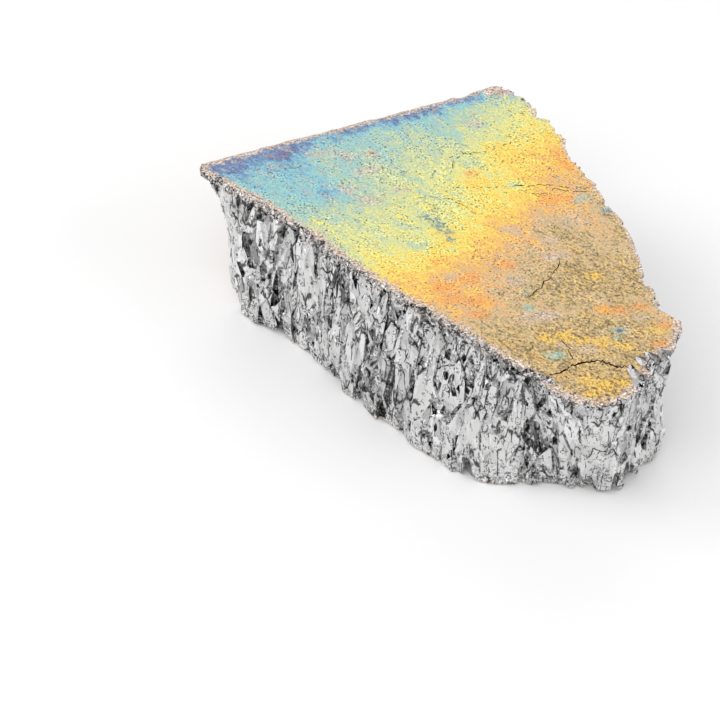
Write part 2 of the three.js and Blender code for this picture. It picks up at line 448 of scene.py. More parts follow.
offsets = np.array([[wall_offset(run, height) for height in WALL_HEIGHTS] for run in WALL_RUNS])
for column in offsets.T:
    known = np.flatnonzero(~np.isnan(column))
    column[:] = np.interp(np.arange(len(column)), known, column[known])
evened = sum(np.roll(offsets, shift, axis=0) for shift in (-1, 0, 1)) / 3
offsets[1:-1] = evened[1:-1]
print("wall stands", np.round(offsets.min() / mm, 1), "to", np.round(offsets.max() / mm, 1), "mm out")

# %% Press the side in and pull it out
# Where in mm, how far out, how wide a stretch, below which height and over how much height it comes in.
WALL_SHIFTS = [
    (48, -22, -2.7, 6, 18, 14),
    (50, -4, 1.5, 6, 18, 14),
    (-49, -26, -4.3, 7, 24.6, 3.5),
    (-49, -26, 1, 6, 9, 7),
]
LEAN_SPAN = 2 * mm

for x, y, amount, reach, fade, soft in WALL_SHIFTS:
    for run, row in zip(WALL_RUNS, offsets):
        near = math.exp(-(np.linalg.norm(edge_point(run) - np.array((x, y)) * mm) / (reach * mm)) ** 2)
        row += amount * mm * near * np.clip((fade * mm - WALL_HEIGHTS) / (soft * mm), 0, 1)
print(len(WALL_SHIFTS), "shifts")


def wall_place(run, height):
    """A point on the evened broken wall, the way out of it and its lean."""
    out = way_out(run)
    levels = [np.interp(run, WALL_RUNS, offsets[:, k]) for k in range(len(WALL_HEIGHTS))]
    offset = np.interp(height, WALL_HEIGHTS, levels)
    above, under = (np.interp(height + side * LEAN_SPAN, WALL_HEIGHTS, levels) for side in (1, -1))
    return Vector((*edge_point(run), height)) + out * offset, out, math.atan2(above - under, 2 * LEAN_SPAN)


# %% [markdown]
# ## The core, its limit and the plate
#
# Behind the grains is solid metal. It isn't seen, but the grains have to be part of something, so a
# core is drawn through the measured side, half a millimetre in. A ring is extruded level by level and
# each corner is then moved to its place, which keeps the body closed, as the Booleans need it. A second
# body of the same kind, the limit, stands just outside the side, and what sticks out past it is cut off
# later. A thin plate carries the skin out to the broken edge. All three reach out past the lip, where
# the bar's own skin will trim them.
#
# A number on every face, its tone, says how light the metal is there. A grain's tone is painted shade
# and light: its grey stands for how its face turns to the light. The cracks and the clean ledge by the
# spur have tones outside the grains' range, by which the finish knows them.

# %% Set the tones
MIDDLE_TONE = 0.6
# Grain tones are painted shade and light: each grain's grey stands for its angle to the light.
GRAIN_TONES = (0.25, 1)
# Gap faces are this much darker in tone than their grain: painted shade in the gaps.
GAP_SHADE_DARKER = 0.6
# Cracks get a tone that the finish paints near-black: painted shade in the cracks.
CRACK_SHADE_TONE = -3
LEDGE_TONE = 2.2


def set_tone(mesh, tone=MIDDLE_TONE):
    """Gives all of a mesh's faces one tone; grains have their own."""
    tones = mesh.attributes.new("tone", "FLOAT", "FACE")
    tones.data.foreach_set("value", [tone] * len(mesh.polygons))


# %% Model the core and its limit
PAST_THE_LIP = 9
beyond = out_of_wall * PAST_THE_LIP * mm


def wall_body(name, inset, heights, spacing):
    """A solid that follows the evened wall, set in from it or out from it, and reaches past the lip."""
    rings = []
    for run in np.arange(1 * mm, edge_length, spacing):
        stations = [wall_place(run, min(max(height, 0), thickness)) for height in heights]
        rings.append([place - out * inset for place, out, _ in stations])
    rings += [[place + beyond for place in rings[-1]], [place + beyond for place in rings[0]]]
    bpy.ops.mesh.primitive_circle_add(vertices=len(rings), radius=1, fill_type="NGON")
    body = bpy.context.object
    body.name = name
    bpy.ops.object.mode_set(mode="EDIT")
    for _ in heights[1:]:
        bpy.ops.mesh.extrude_region_move(TRANSFORM_OT_translate={"value": (0, 0, 1)})
    bpy.ops.object.mode_set(mode="OBJECT")
    for vertex in body.data.vertices:
        number = round(math.atan2(vertex.co.y, vertex.co.x) / math.tau * len(rings)) % len(rings)
        level = round(vertex.co.z)
        vertex.co = (*rings[number][level].xy, heights[level])
    bpy.ops.object.mode_set(mode="EDIT")
    bpy.ops.mesh.select_all(action="SELECT")
    bpy.ops.mesh.normals_make_consistent(inside=False)
    bpy.ops.object.mode_set(mode="OBJECT")
    body.data.materials.append(broken_metal)
    set_tone(body.data)
    return body


core_heights = (-1 * mm, 6 * mm, 15 * mm, 23 * mm, 27 * mm, thickness + 1 * mm)
limit_heights = (-2 * mm, 8 * mm, 16 * mm, 24 * mm, thickness + 2 * mm)
core = wall_body("core", 0.45 * mm, core_heights, 2.5 * mm)
limit = wall_body("limit", -0.8 * mm, limit_heights, 3.5 * mm)
print("core:", len(core.data.polygons), "faces")

# %% Model the plate under the skin
PLATE_DEPTH = 0.9 * mm


def top_plate(name, depth):
    """A plate with the broken outline of the top, reaching beyond the cast skin."""
    outline = [Vector((*point, 0)) for point in broken_edge]
    outline = [outline[0] + beyond] + outline + [outline[-1] + beyond]
    bpy.ops.mesh.primitive_circle_add(vertices=len(outline), radius=1, fill_type="NGON")
    plate = bpy.context.object
    plate.name = name
    for vertex, point in zip(plate.data.vertices, outline):
        vertex.co = (*point.xy, thickness - depth)
    bpy.ops.object.mode_set(mode="EDIT")
    bpy.ops.mesh.extrude_region_move(TRANSFORM_OT_translate={"value": (0, 0, depth + 1 * mm)})
    bpy.ops.mesh.select_all(action="SELECT")
    bpy.ops.mesh.normals_make_consistent(inside=False)
    bpy.ops.object.mode_set(mode="OBJECT")
    plate.data.materials.append(broken_metal)
    set_tone(plate.data)
    return plate


plate = top_plate("top_plate", PLATE_DEPTH)
print("plate:", len(plate.data.polygons), "faces")

# %% [markdown]
# ## Grains
#
# Bismuth breaks along its grains. Most are tall columns with flat sides; a few have stepped faces like
# a ladder, where thin plates of the crystal end one above another; and close under the cast top they
# are only crumbs. Each kind is modelled a few times, in a box one unit across, and hundreds of copies
# are stretched, turned and set into the broken sides. A cube cut by slanting planes gives a column its
# flat, uneven faces.

# %% Model the columns
GRAIN_SEED = 11
STEP_DEPTH = 0.09
chance = random.Random(GRAIN_SEED)


def cut_off(normal, distance):
    """In edit mode, cuts off what lies beyond a plane and closes the cut."""
    normal = Vector(normal).normalized()
    bpy.ops.mesh.select_all(action="SELECT")
    bpy.ops.mesh.bisect(plane_co=normal * distance, plane_no=normal, use_fill=True, clear_outer=True)


def column_variant(name):
    """A grain with its broken face towards -Y: a cube with cut corners and a face of two or three planes."""
    bpy.ops.mesh.primitive_cube_add(size=1)
    grain = bpy.context.object
    grain.name = name
    bpy.ops.object.mode_set(mode="EDIT")
    for corner in (45, 135, 225, 315):
        turn = math.radians(corner + chance.uniform(-38, 38))
        lean = chance.uniform(-0.35, 0.2)
        cut_off((math.cos(turn), lean, math.sin(turn)), chance.uniform(0.34, 0.54))
    for _ in range(chance.choice((1, 1, 2))):
        tilt = (chance.uniform(-0.35, 0.35), -1, chance.uniform(-0.25, 0.25))
        cut_off(tilt, chance.uniform(0.38, 0.48))
    bpy.ops.object.mode_set(mode="OBJECT")
    return grain


def ladder_variant(name, steps):
    """A column whose broken face is a ladder of thin plates, each set back from the one above."""
    bpy.ops.mesh.primitive_cube_add(size=1)
    grain = bpy.context.object
    grain.name = name
    bpy.ops.object.mode_set(mode="EDIT")
    for step in range(1, 2 * steps):
        bpy.ops.mesh.select_all(action="SELECT")
        height = step / (2 * steps) - 0.5
        bpy.ops.mesh.bisect(plane_co=(0, 0, height), plane_no=(0.12, 0, 1))
    bpy.ops.object.mode_set(mode="OBJECT")
    fronts = sorted((f for f in grain.data.polygons if f.normal.y < -0.9), key=lambda f: f.center.z)
    for parts in (grain.data.polygons, grain.data.edges, grain.data.vertices):
        parts.foreach_set("select", [False] * len(parts))
    for face in fronts[1::2]:
        face.select = True
    bpy.ops.object.mode_set(mode="EDIT")
    bpy.ops.mesh.select_mode(type="FACE")
    bpy.ops.mesh.extrude_faces_move(TRANSFORM_OT_shrink_fatten={"value": -STEP_DEPTH})
    bpy.ops.object.mode_set(mode="OBJECT")
    return grain


columns = [column_variant(f"column_{i}") for i in range(10)]
print("column faces:", [len(grain.data.polygons) for grain in columns])

# %% Model the plate and the ladders
bpy.ops.mesh.primitive_cube_add(size=1)
plate_grain = bpy.context.object
plate_grain.name = "plate_grain"
bpy.ops.object.mode_set(mode="EDIT")
for turn in (38, 118, 205, 320):
    cut_off((math.cos(math.radians(turn)), -0.15, math.sin(math.radians(turn))), 0.46)
bpy.ops.object.mode_set(mode="OBJECT")
ladders = [ladder_variant(f"ladder_{i}", steps) for i, steps in enumerate((4, 6))]
print("ladder faces:", [len(grain.data.polygons) for grain in ladders])

# %% Model the crumbs
def crumb_variant(name, seed):
    """A crumb of metal: an icosphere with its corners pushed about and one flat broken face."""
    bpy.ops.mesh.primitive_ico_sphere_add(subdivisions=1, radius=0.55)
    crumb = bpy.context.object
    crumb.name = name
    bpy.ops.object.mode_set(mode="EDIT")
    bpy.ops.transform.vertex_random(offset=0.16, seed=seed)
    bpy.ops.mesh.select_all(action="SELECT")
    bpy.ops.mesh.bisect(plane_co=(0, -0.3, 0), plane_no=(0.3, -1, 0.2), use_fill=True, clear_outer=True)
    bpy.ops.object.mode_set(mode="OBJECT")
    return crumb


crumbs = [crumb_variant(f"crumb_{i}", i + 1) for i in range(6)]
print("crumb faces:", [len(crumb.data.polygons) for crumb in crumbs])

# %% [markdown]
# ## Setting the grains in the broken sides
#
# For each grain a level ray finds the wall of the rough chunk, and the grain is set there with its face
# a little proud. The layers go on one after another, big columns first. Before a layer goes on,
# slightly larger copies of it are cut out of what is there already, so that every grain stands in a
# thin gap of its own, as grains that have parted do; the faces the cut leaves get a lower tone, painted
# shade in the gap.

# %% Copy and turn a grain
def frame_at(place, out, turns):
    """The matrix of a grain at a place that faces out, turned about up, across and out by three angles."""
    up = Vector((0, 0, 1))
    across = up.cross(out)
    stand = Matrix((across, -out, up)).transposed().to_4x4()
    yaw, pitch, roll = turns
    turned = Matrix.Rotation(yaw, 4, "Z") @ Matrix.Rotation(pitch, 4, "X") @ Matrix.Rotation(roll, 4, "Y")
    return Matrix.Translation(place) @ stand @ turned


def copy_of(grain, matrix, group, tone):
    """A copy of a grain with its own mesh; every face keeps the grain's tone, a little changed."""
    mesh = grain.data.copy()
    mesh.transform(matrix)
    shades = mesh.attributes.get("tone") or mesh.attributes.new("tone", "FLOAT", "FACE")
    values = [tone + chance.gauss(0, 0.1) for _ in mesh.polygons]
    shades.data.foreach_set("value", values)
    if not mesh.materials:
        mesh.materials.append(broken_metal)
    copy = bpy.data.objects.new(grain.name, mesh)
    group.objects.link(copy)
    return copy


# %% Join and cut whole groups
def new_group(name):
    """A collection to hold copies until one Boolean joins or cuts them all."""
    group = bpy.data.collections.new(name)
    bpy.context.scene.collection.children.link(group)
    return group


def boolean(target, operation, tool=None, group=None):
    """Joins or cuts the target with one object, or with all of a collection at once."""
    select_only(target)
    step = target.modifiers.new("boolean", "BOOLEAN")
    step.solver = "MANIFOLD"
    step.material_mode = "TRANSFER"
    step.operation = operation
    step.operand_type = "OBJECT" if tool else "COLLECTION"
    step.object = tool
    step.collection = group
    bpy.ops.object.modifier_apply(modifier="boolean")


def join_all(group):
    """Joins a collection's overlapping solids into the first of them, which leaves the collection."""
    first = group.objects[0]
    group.objects.unlink(first)
    bpy.context.scene.collection.objects.link(first)
    boolean(first, "UNION", group=group)
    return first


def clear_group(group):
    """Deletes a collection and the copies in it."""
    for thing in list(group.objects):
        mesh = thing.data
        bpy.data.objects.remove(thing)
        bpy.data.meshes.remove(mesh)
    bpy.data.collections.remove(group)


# %% Set a layer of grains
def set_layer(name, kinds, spacing, heights, width, depth, tall, proud, lean, share=1.0, gap=0):
    """Cuts gaps for a layer of grains and sets the grains in them.

    Spacing is across and up; heights are the layer's lowest and highest; width, depth, tall and proud are
    ranges; lean is the spread of yaw, pitch and roll in degrees; share is how many of the places are filled.
    """
    grains, gaps = new_group(name), new_group(name + "_gaps")
    across, up = spacing
    rows = max(1, round((heights[1] - heights[0]) / up))
    per_row = round(edge_length / across)
    for row in range(rows):
        for number in range(per_row):
            if chance.random() > share:
                continue
            run = (number + 0.5 * (row % 2) + chance.uniform(-0.45, 0.45)) * across
            row_share = row + 0.5 + chance.uniform(-0.45, 0.45)
            height = heights[0] + row_share * (heights[1] - heights[0]) / rows
            run = min(max(run, 0), edge_length)
            place, out, foot = wall_place(run, height)
            size = Vector((chance.uniform(*width), chance.uniform(*depth), chance.uniform(*tall)))
            turns = [math.radians(chance.gauss(0, spread)) for spread in lean]
            turns[1] += foot
            stance = frame_at(place + out * (chance.uniform(*proud) - size.y / 2), out, turns)
            grain = chance.choice(kinds)
            tone = chance.uniform(*GRAIN_TONES)
            copy_of(grain, stance @ Matrix.Diagonal((*size, 1)), grains, tone)
            if gap:
                wider = Vector((size.x + 2 * gap, size.y + gap, size.z + 2 * gap))
                copy_of(grain, stance @ Matrix.Diagonal((*wider, 1)), gaps, tone - GAP_SHADE_DARKER)
    if gap:
        cutter = join_all(gaps)
        boolean(metal, "DIFFERENCE", tool=cutter)
        bpy.data.objects.remove(cutter)
    boolean(metal, "UNION", group=grains)
    print(name, len(grains.objects), "grains;", len(metal.data.polygons), "faces; at", seconds())
    clear_group(grains)
    clear_group(gaps)


# %% Set the columns and slivers
metal = core
set_layer("big_columns", columns, spacing=(3.2 * mm, 7 * mm), heights=(0.5 * mm, thickness - 2.5 * mm),
          width=(2.6 * mm, 5 * mm), depth=(2.4 * mm, 3 * mm), tall=(9 * mm, 17 * mm),
          proud=(-0.3 * mm, 0.8 * mm), lean=(13, 4, 7))
set_layer("columns", columns + ladders[:1], spacing=(2.8 * mm, 5 * mm),
          heights=(0.5 * mm, thickness - 2 * mm), width=(1.6 * mm, 3.8 * mm),
          depth=(1 * mm, 1.5 * mm), tall=(5 * mm, 11 * mm), proud=(-0.1 * mm, 0.7 * mm),
          lean=(12, 4, 9), share=0.7, gap=0.08 * mm)
set_layer("slivers", columns + ladders, spacing=(2.6 * mm, 3 * mm), heights=(0.4 * mm, thickness - 1.5 * mm),
          width=(0.7 * mm, 1.6 * mm), depth=(0.7 * mm, 1.1 * mm), tall=(1.6 * mm, 6 * mm),
          proud=(0.1 * mm, 0.7 * mm), lean=(16, 7, 14), share=0.45, gap=0.06 * mm)

# %% [markdown]
# ## Hollows, plates and crumbs
#
# A few grains fell out whole and left deep hollows, and a few broke as broad flat plates that mirror
# the light in one piece. They are few enough to list one by one. Whatever now sticks out past the limit
# is cut off. Last comes a close row of crumbs under the skin, where the metal set first and its grains
# are small.

# %% Set the hollows and the plates
BLOCK_DEPTH = 3
PLATE_TONE = 0.75
# How far along the edge and how high in mm, width, height, roll in degrees and depth.
HOLLOWS = [
    (24, 18, 5, 9, -12, 0.9),
    (30, 10, 2, 8, 14, 0.9),
    (63, 11, 2.4, 12, 8, 0.9),
    (96, 13, 2.4, 9, -10, 0.8),
]
# The same, but roll is followed by yaw, and the last is how proud the plate stands.
PLATES = [
    (17, 15, 4.4, 17, -22, -14, 0.7),
    (38, 17, 4.6, 14, 6, 10, 0.6),
    (52, 12, 4, 15, -5, -12, 0.6),
    (71, 14, 4.4, 15, 8, 8, 0.6),
    (84, 12, 4.4, 13, 3, -10, 0.6),
    (103, 18, 5, 12, -6, 6, 0.6),
    (111, 12, 5, 12, 10, -8, 0.6),
]


def set_block(grain, run, height, width, tall, yaw, roll, proud, group, tone):
    """A block in the broken side, its face standing proud; sizes and places in mm, angles in degrees."""
    place, out, foot = wall_place(run * mm, height * mm)
    turns = (math.radians(yaw), foot, math.radians(roll))
    stance = frame_at(place + out * (proud - BLOCK_DEPTH / 2) * mm, out, turns)
    copy_of(grain, stance @ Matrix.Diagonal((width * mm, BLOCK_DEPTH * mm, tall * mm, 1)), group, tone)


hollows, plates = new_group("hollows"), new_group("plates")
for run, height, width, tall, roll, depth in HOLLOWS:
    sticking_out = BLOCK_DEPTH - depth
    # Hollow faces get tone 0, darker than any grain: painted shade in the hollows.
    set_block(chance.choice(columns), run, height, width, tall, 0, roll, sticking_out, hollows, 0)
for run, height, width, tall, roll, yaw, proud in PLATES:
    set_block(plate_grain, run, height, width, tall, yaw, roll, proud, plates, PLATE_TONE)
boolean(metal, "DIFFERENCE", group=hollows)
boolean(metal, "UNION", group=plates)
clear_group(hollows)
clear_group(plates)
boolean(metal, "INTERSECT", tool=limit)
print("hollows, plates and limit:", len(metal.data.polygons), "faces")

# %% Set the crumbs and the plate
set_layer("crumbs_under_the_top", crumbs, spacing=(1.1 * mm, 1 * mm),
          heights=(thickness - 3 * mm, thickness - 0.7 * mm), width=(0.6 * mm, 1.4 * mm),
          depth=(0.5 * mm, 0.9 * mm), tall=(0.6 * mm, 1.5 * mm), proud=(0.15 * mm, 0.5 * mm),
          lean=(40, 40, 40), share=0.75, gap=0.04 * mm)
boolean(metal, "UNION", tool=plate)

# %% [markdown]
# ## Trimming the chunk to the cast bar
#
# One Boolean keeps only what lies in both the metal and the bar, so the skin ends where the metal is
# broken, and the lip, the side wall and the underside come out as they were cast. A tree of the bar's
# faces is kept, because the cracks are laid on that skin later.

# %% Keep only what lies in the bar
boolean(metal, "INTERSECT", tool=bar)
skin_tree = BVHTree.FromPolygons([v.co for v in bar.data.vertices], [f.vertices for f in bar.data.polygons])
print("trimmed:", len(metal.data.polygons), "faces; at", seconds())


def skin_height(x, y):
    """The height of the skin above a place."""
    return skin_tree.ray_cast(Vector((x, y, 2 * thickness)), Vector((0, 0, -1)))[0].z


# %% [markdown]
# ## Chipping the edge
#
# The skin breaks away in crumbs all along the edge. On the front they are small bites, as wide as the
# crumbs under the skin. On the far side whole columns broke out, so their flat sides notch the edge
# there. A few larger listed bites blunt the sharp corner and the near end of the lobe, and the tip of
# the spur is spared.

# %% Chip the top edge
SPUR_TIP = np.array((46.5, 2.2)) * mm
SPARED_ROUND_TIP = 2.6 * mm
WHOLE_LAST_STRETCH = 14 * mm
NOTCH_DEPTH = 4 * mm
NOTCH_HEIGHT = 12 * mm
BITES = [(-52.2, -21.2, 2.2), (-51.9, -20.2, 2), (34.9, -24.6, 2.2), (36.4, -24.4, 2.6), (37.6, -24.3, 2.2),
         (38.6, -24.9, 1.8)]
chips = new_group("chips")


def bite(point, height, size):
    """A crumb-shaped hole of a size, turned by chance."""
    axis = Vector((chance.random(), chance.random(), 1)).normalized()
    turn = Matrix.Rotation(chance.uniform(0, math.tau), 4, axis)
    place = Matrix.LocRotScale(Vector((*point, height)), None, Vector((size, size, size * 0.8)))
    copy_of(chance.choice(crumbs), place @ turn, chips, chance.random())


def notch(point, out):
    """A hole left by a column; gives back the column's width."""
    width, inwards = chance.uniform(1.2, 3.6) * mm, chance.uniform(-0.3, 1.1) * mm
    yaw, pitch, roll = chance.gauss(0, 17), chance.uniform(-12, 2), chance.gauss(0, 8)
    turns = (math.radians(yaw), math.radians(pitch), math.radians(roll))
    place = Vector((*point, thickness - 2 * mm)) + out * (NOTCH_DEPTH / 2 - inwards)
    stance = frame_at(place, -out, turns) @ Matrix.Diagonal((width, NOTCH_DEPTH, NOTCH_HEIGHT, 1))
    copy_of(chance.choice(columns), stance, chips, chance.uniform(0.3, 1))
    return width


run = 1 * mm
while run < edge_length:
    out = way_out(run, 1 * mm)
    point = edge_point(run)
    if np.linalg.norm(point - SPUR_TIP) < SPARED_ROUND_TIP:
        run += 1 * mm
    elif out.y > BACK_FACING and run < edge_length - WHOLE_LAST_STRETCH:
        width = notch(point, out)
        run += chance.uniform(0.5, 0.9) * width
    else:
        size = chance.choice((1, 1.3, 1.7, 2.1)) * mm
        inwards = chance.uniform(-0.25, 0.15) * size
        bite(point - np.array(out.xy) * inwards, thickness - chance.uniform(-0.2, 0.3) * mm, size)
        run += chance.uniform(0.4, 1.2) * mm
for x, y, size in BITES:
    bite(np.array((x, y)) * mm, thickness, size * mm)
boolean(metal, "DIFFERENCE", group=chips)
clear_group(chips)

# %% [markdown]
# ## The ledge by the spur
#
# Between the lobe and the spur the skin came off with the tops of four grains and left clean slanting
# facets. Each is cut with a flat-faced grain laid against the edge, its face turned up and out, and
# keeps the tone of a ledge.

# %% Break the skin away by the spur
FACETS = [
    (45.7, -11.9, (0.55, -0.2, 0.8)),
    (45.2, -9.4, (0.5, 0.08, 0.86)),
    (45.7, -7.2, (0.56, -0.06, 0.8)),
    (46.9, -5.2, (0.66, 0.12, 0.74)),
]
FACET_LEVEL = 29.75
facets = new_group("facets")
for x, y, facing in FACETS:
    facing = Vector(facing).normalized()
    level = Vector((-facing.y, facing.x, 0)).normalized()
    turned = Matrix((level, facing, level.cross(facing))).transposed().to_4x4()
    place = Matrix.Translation(Vector((x, y, FACET_LEVEL)) * mm)
    stance = place @ turned @ Matrix.Diagonal((3.4 * mm, 4 * mm, 9 * mm, 1))
    copy_of(plate_grain, stance @ Matrix.Translation((0, 0.5, 0.45)), facets, LEDGE_TONE)
boolean(metal, "DIFFERENCE", group=facets)
clear_group(facets)
print(len(FACETS), "facets broken away")

# %% [markdown]
# ## Cracks and creases
#
# The crack behind the lobe gapes a little. Finer cracks and rows of small holes, where gas left the
# setting metal along the grain boundaries, are cut with thin tubes that are laid on the skin.

# %% Lay a tube on the skin
TUBE_STEP = 0.45 * mm
WANDER = 0.16
TAPER = 2.5 * mm


def tube_along(name, path, radius, depth=0.0, dash=None):
    """A thin tube laid on the skin along a path, wandering a little and thin at its ends.

    A dash is a choice of lengths, in steps, for the pieces of a row of holes; without it the tube is whole.
    """
    points = np.array(path) * mm
    lengths = np.r_[0, np.cumsum(np.linalg.norm(np.diff(points, axis=0), axis=1))]
    runs = np.arange(0, lengths[-1], TUBE_STEP)
    stretches, start = [] if dash else [runs], 0
    while dash and start < len(runs) - 1:
        count = chance.choice(dash)
        stretches.append(runs[start:start + count])
        start += count + chance.choice((1, 1, 2))
    bpy.ops.curve.primitive_bezier_curve_add()
    tube = bpy.context.object
    tube.name = name
    tube.data.splines.clear()
    for stretch in stretches:
        if len(stretch) < 2:
            continue
        spline = tube.data.splines.new("POLY")
        spline.points.add(len(stretch) - 1)
        for point, run in zip(spline.points, stretch):
            x, y = (np.interp(run, lengths, points[:, i]) + chance.gauss(0, WANDER) * mm for i in range(2))
            point.co = (x, y, skin_height(x, y) - 0.7 * depth, 1)
            from_end = min(run, lengths[-1] - run) / TAPER
            point.radius = chance.uniform(0.6, 1.2) * min(1, 0.4 + from_end)
    tube.data.twist_mode = "Z_UP"
    tube.data.bevel_depth = radius
    tube.data.bevel_resolution = 0
    tube.data.extrude = depth
    tube.data.use_fill_caps = True
    bpy.ops.object.convert(target="MESH")
    bpy.ops.object.mode_set(mode="EDIT")
    bpy.ops.mesh.select_all(action="SELECT")
    bpy.ops.mesh.remove_doubles(threshold=0.0005 * mm)
    bpy.ops.mesh.normals_make_consistent(inside=False)
    bpy.ops.object.mode_set(mode="OBJECT")
    tube.data.materials.append(broken_metal)
    set_tone(tube.data, CRACK_SHADE_TONE)
    return tube


# %% Cut the cracks
SIDE_CRACK = [(31.7, -14.7), (34.3, -15.6), (36.3, -16.9), (38.2, -17.4)]
CURVED_CRACK = [(18.5, 1.6), (19.6, -1.6), (20.3, -4.6), (20.7, -8.3), (20.5, -11.2)]
CREASES = [
    ([(-12.3, 5.8), (-14, 8.1), (-14.6, 11), (-13.6, 12.9), (-11.9, 14.9)], 0.1 * mm, (3, 5, 8)),
    ([(-11.9, 14.9), (-10.7, 17.3), (-9.7, 19.4), (-9.7, 22.2), (-10.1, 22.8)], 0.12 * mm, (2, 2, 3)),
    ([(-17.9, 9), (-15.4, 9.1), (-15.3, 11.8), (-14, 12)], 0.1 * mm, (2, 3, 4)),
    ([(-11.1, 1.9), (-6.3, 5.8), (-1.6, 10.5)], 0.11 * mm, (2, 2, 2, 3)),
    ([(-1.6, 10.5), (1.1, 13.3), (3.7, 16.1), (7.9, 18.5), (10.4, 20.8)], 0.11 * mm, (3, 5, 7)),
    ([(0.7, 10.8), (4.2, 12.5), (5.3, 15.7), (8.5, 17.8), (11.1, 19.9)], 0.11 * mm, (3, 4, 8)),
    ([(-12.5, -4.4), (-10.9, -1.9), (-8, -0.1), (-4.8, 0.5), (-0.6, 0.1)], 0.08 * mm, (3, 5, 7)),
    ([(-6.2, 19.1), (-3, 21.2), (-0.8, 23.4)], 0.08 * mm, (3, 6)),
    ([(-39.2, -19.1), (-35.1, -12.2), (-32.5, -6.8)], 0.09 * mm, (2, 2, 3)),
    ([(-12.9, 20.4), (-9.4, 22.9), (-6.7, 26.8)], 0.07 * mm, (2, 3, 4)),
]
CRACKS = [
    ("main_crack", MAIN_CRACK, 0.14 * mm, 0.5 * mm, None),
    ("side_crack", SIDE_CRACK, 0.1 * mm, 0.15 * mm, None),
    ("curved_crack", CURVED_CRACK, 0.1 * mm, 0.12 * mm, None),
    ("fading_crack", [(20.5, -11.2), (20.2, -14.6)], 0.08 * mm, 0, (2, 3)),
]
CRACKS += [(f"crease_{i + 1}", path, radius, 0, dash) for i, (path, radius, dash) in enumerate(CREASES)]
cracks = new_group("cracks")
for crack in CRACKS:
    tube = tube_along(*crack)
    bpy.context.scene.collection.objects.unlink(tube)
    cracks.objects.link(tube)
boolean(metal, "DIFFERENCE", group=cracks)
clear_group(cracks)
print("cracks cut:", len(metal.data.polygons), "faces; at", seconds())

# %% [markdown]
# ## One body
#
# Grains that ended up outside the bar or beyond the limit have left loose bits. The mesh is separated
# into its loose bodies, the largest is the chunk, and the rest is swept away with all the helpers.

# %% Keep the one big body
for helper in columns + ladders + crumbs + [plate_grain, plate, limit, bar, rough_chunk]:
    bpy.data.objects.remove(helper)
select_only(metal)
bpy.ops.object.mode_set(mode="EDIT")
bpy.ops.mesh.select_all(action="SELECT")
bpy.ops.mesh.separate(type="LOOSE")
bpy.ops.object.mode_set(mode="OBJECT")
bodies = sorted(bpy.context.selected_objects, key=lambda body: len(body.data.vertices))
chunk = bodies.pop()
print(len(bodies), "loose bits dropped")
for body in bodies:
    bpy.data.objects.remove(body)
chunk.name = "bismuth_chunk_metal"
triangles = sum(len(face.vertices) - 2 for face in chunk.data.polygons)
print("chunk:", triangles, "triangles")

# %% [markdown]
# ## Where the oxide is thick
#
# The colours are thin-film colours: the clear oxide is a few light waves thick, and each thickness
# shows one colour, from indigo through blue, aqua and yellow to orange and mauve. So the skin needs one
# number at each point, the thickness, and a colour ramp turns it into the rainbow. The thickness is set
# at a few given places and is blended between them, further along the bar's flow lines than
# across them.

# %% Blend the oxide's thickness
FLOW = math.radians(42)
FLOW_STRETCH = 1.7
OXIDE_REACH = 2.8 * mm
OXIDE = [
    (0.12, [(-44, -19), (-41, -15)]),
    (0.25, [(-37, -21), (-36, -15), (-33, -18), (-27, -14)]),
    (0.36, [(-31, -10), (-32, -4), (-30, 4), (-28, 10), (-26, -8), (-30, -21), (-24, 12), (-27, 17)]),
    (0.42, [(-24, 0), (-22, -6), (-22, 7), (-20, 14), (-20, 20), (-25, 23), (-24, -18), (-20, -12)]),
    (0.47, [(-17, -21), (-17, -14), (-16, -6), (-16, 1), (-17, 7), (-16, 15), (-16, 20), (-17, 30),
            (-9, -8)]),
    (0.54, [(-13, -18), (-12, -11), (-12, -2), (-12, 10), (-11, 18), (-6, -20), (-7, -13), (-13, 29)]),
    (0.61, [(-7, -3), (-3, -2), (-8, 14), (-13, 24), (-3, -15), (0, -7), (2, 1), (-3, 4), (-5, 29)]),
    (0.67, [(-8, 8), (0, 5), (-4, 13), (-5, 20), (4, 7), (0, -18), (1, -11), (-9, 26), (-4, 26)]),
    (0.77, [(0, 22), (5, 10), (4, -19), (3, -14), (9, 14), (2, 18), (6, -2), (-8.5, 17.5), (7, -14),
            (8, -18), (13, -18)]),
    (0.83, [(9, 7), (6.5, 1.2), (9, -10), (11, -4), (16, -14), (18, -18)]),
    (0.88, [(12, 10), (15, 14), (19, 12), (10, 3), (14, 2), (13, -6), (24, 12), (16, -9), (25, -13),
            (15, 18)]),
    (0.95, [(25, 5), (20, -1), (30, 7), (24, -4), (30, 0), (30, -7), (21, -17), (28, -18), (45, -8)]),
    (0.98, [(33, -17), (36, -8), (44, -13), (44, -18), (40, -17), (33, -10), (40, -6)]),
    (0.86, [(36, 2), (34, -4), (42, -2), (38, -13), (25, -12), (44, -4)]),
]


def along_and_across(points):
    """Places in the flow's own axes, with lengths along the flow shortened."""
    along = points[:, 0] * math.cos(FLOW) + points[:, 1] * math.sin(FLOW)
    across = points[:, 1] * math.cos(FLOW) - points[:, 0] * math.sin(FLOW)
    return np.c_[along / FLOW_STRETCH, across]


def blend(points, places, values, reach):
    """A value at each point, blended from the nearest places."""
    gaps = along_and_across(points)[:, None, :] - along_and_across(np.array(places) * mm)[None, :, :]
    squares = (gaps**2).sum(axis=2)
    weights = np.exp(-(squares - squares.min(axis=1, keepdims=True)) / (2 * reach**2))
    return weights @ np.array(values) / weights.sum(axis=1)


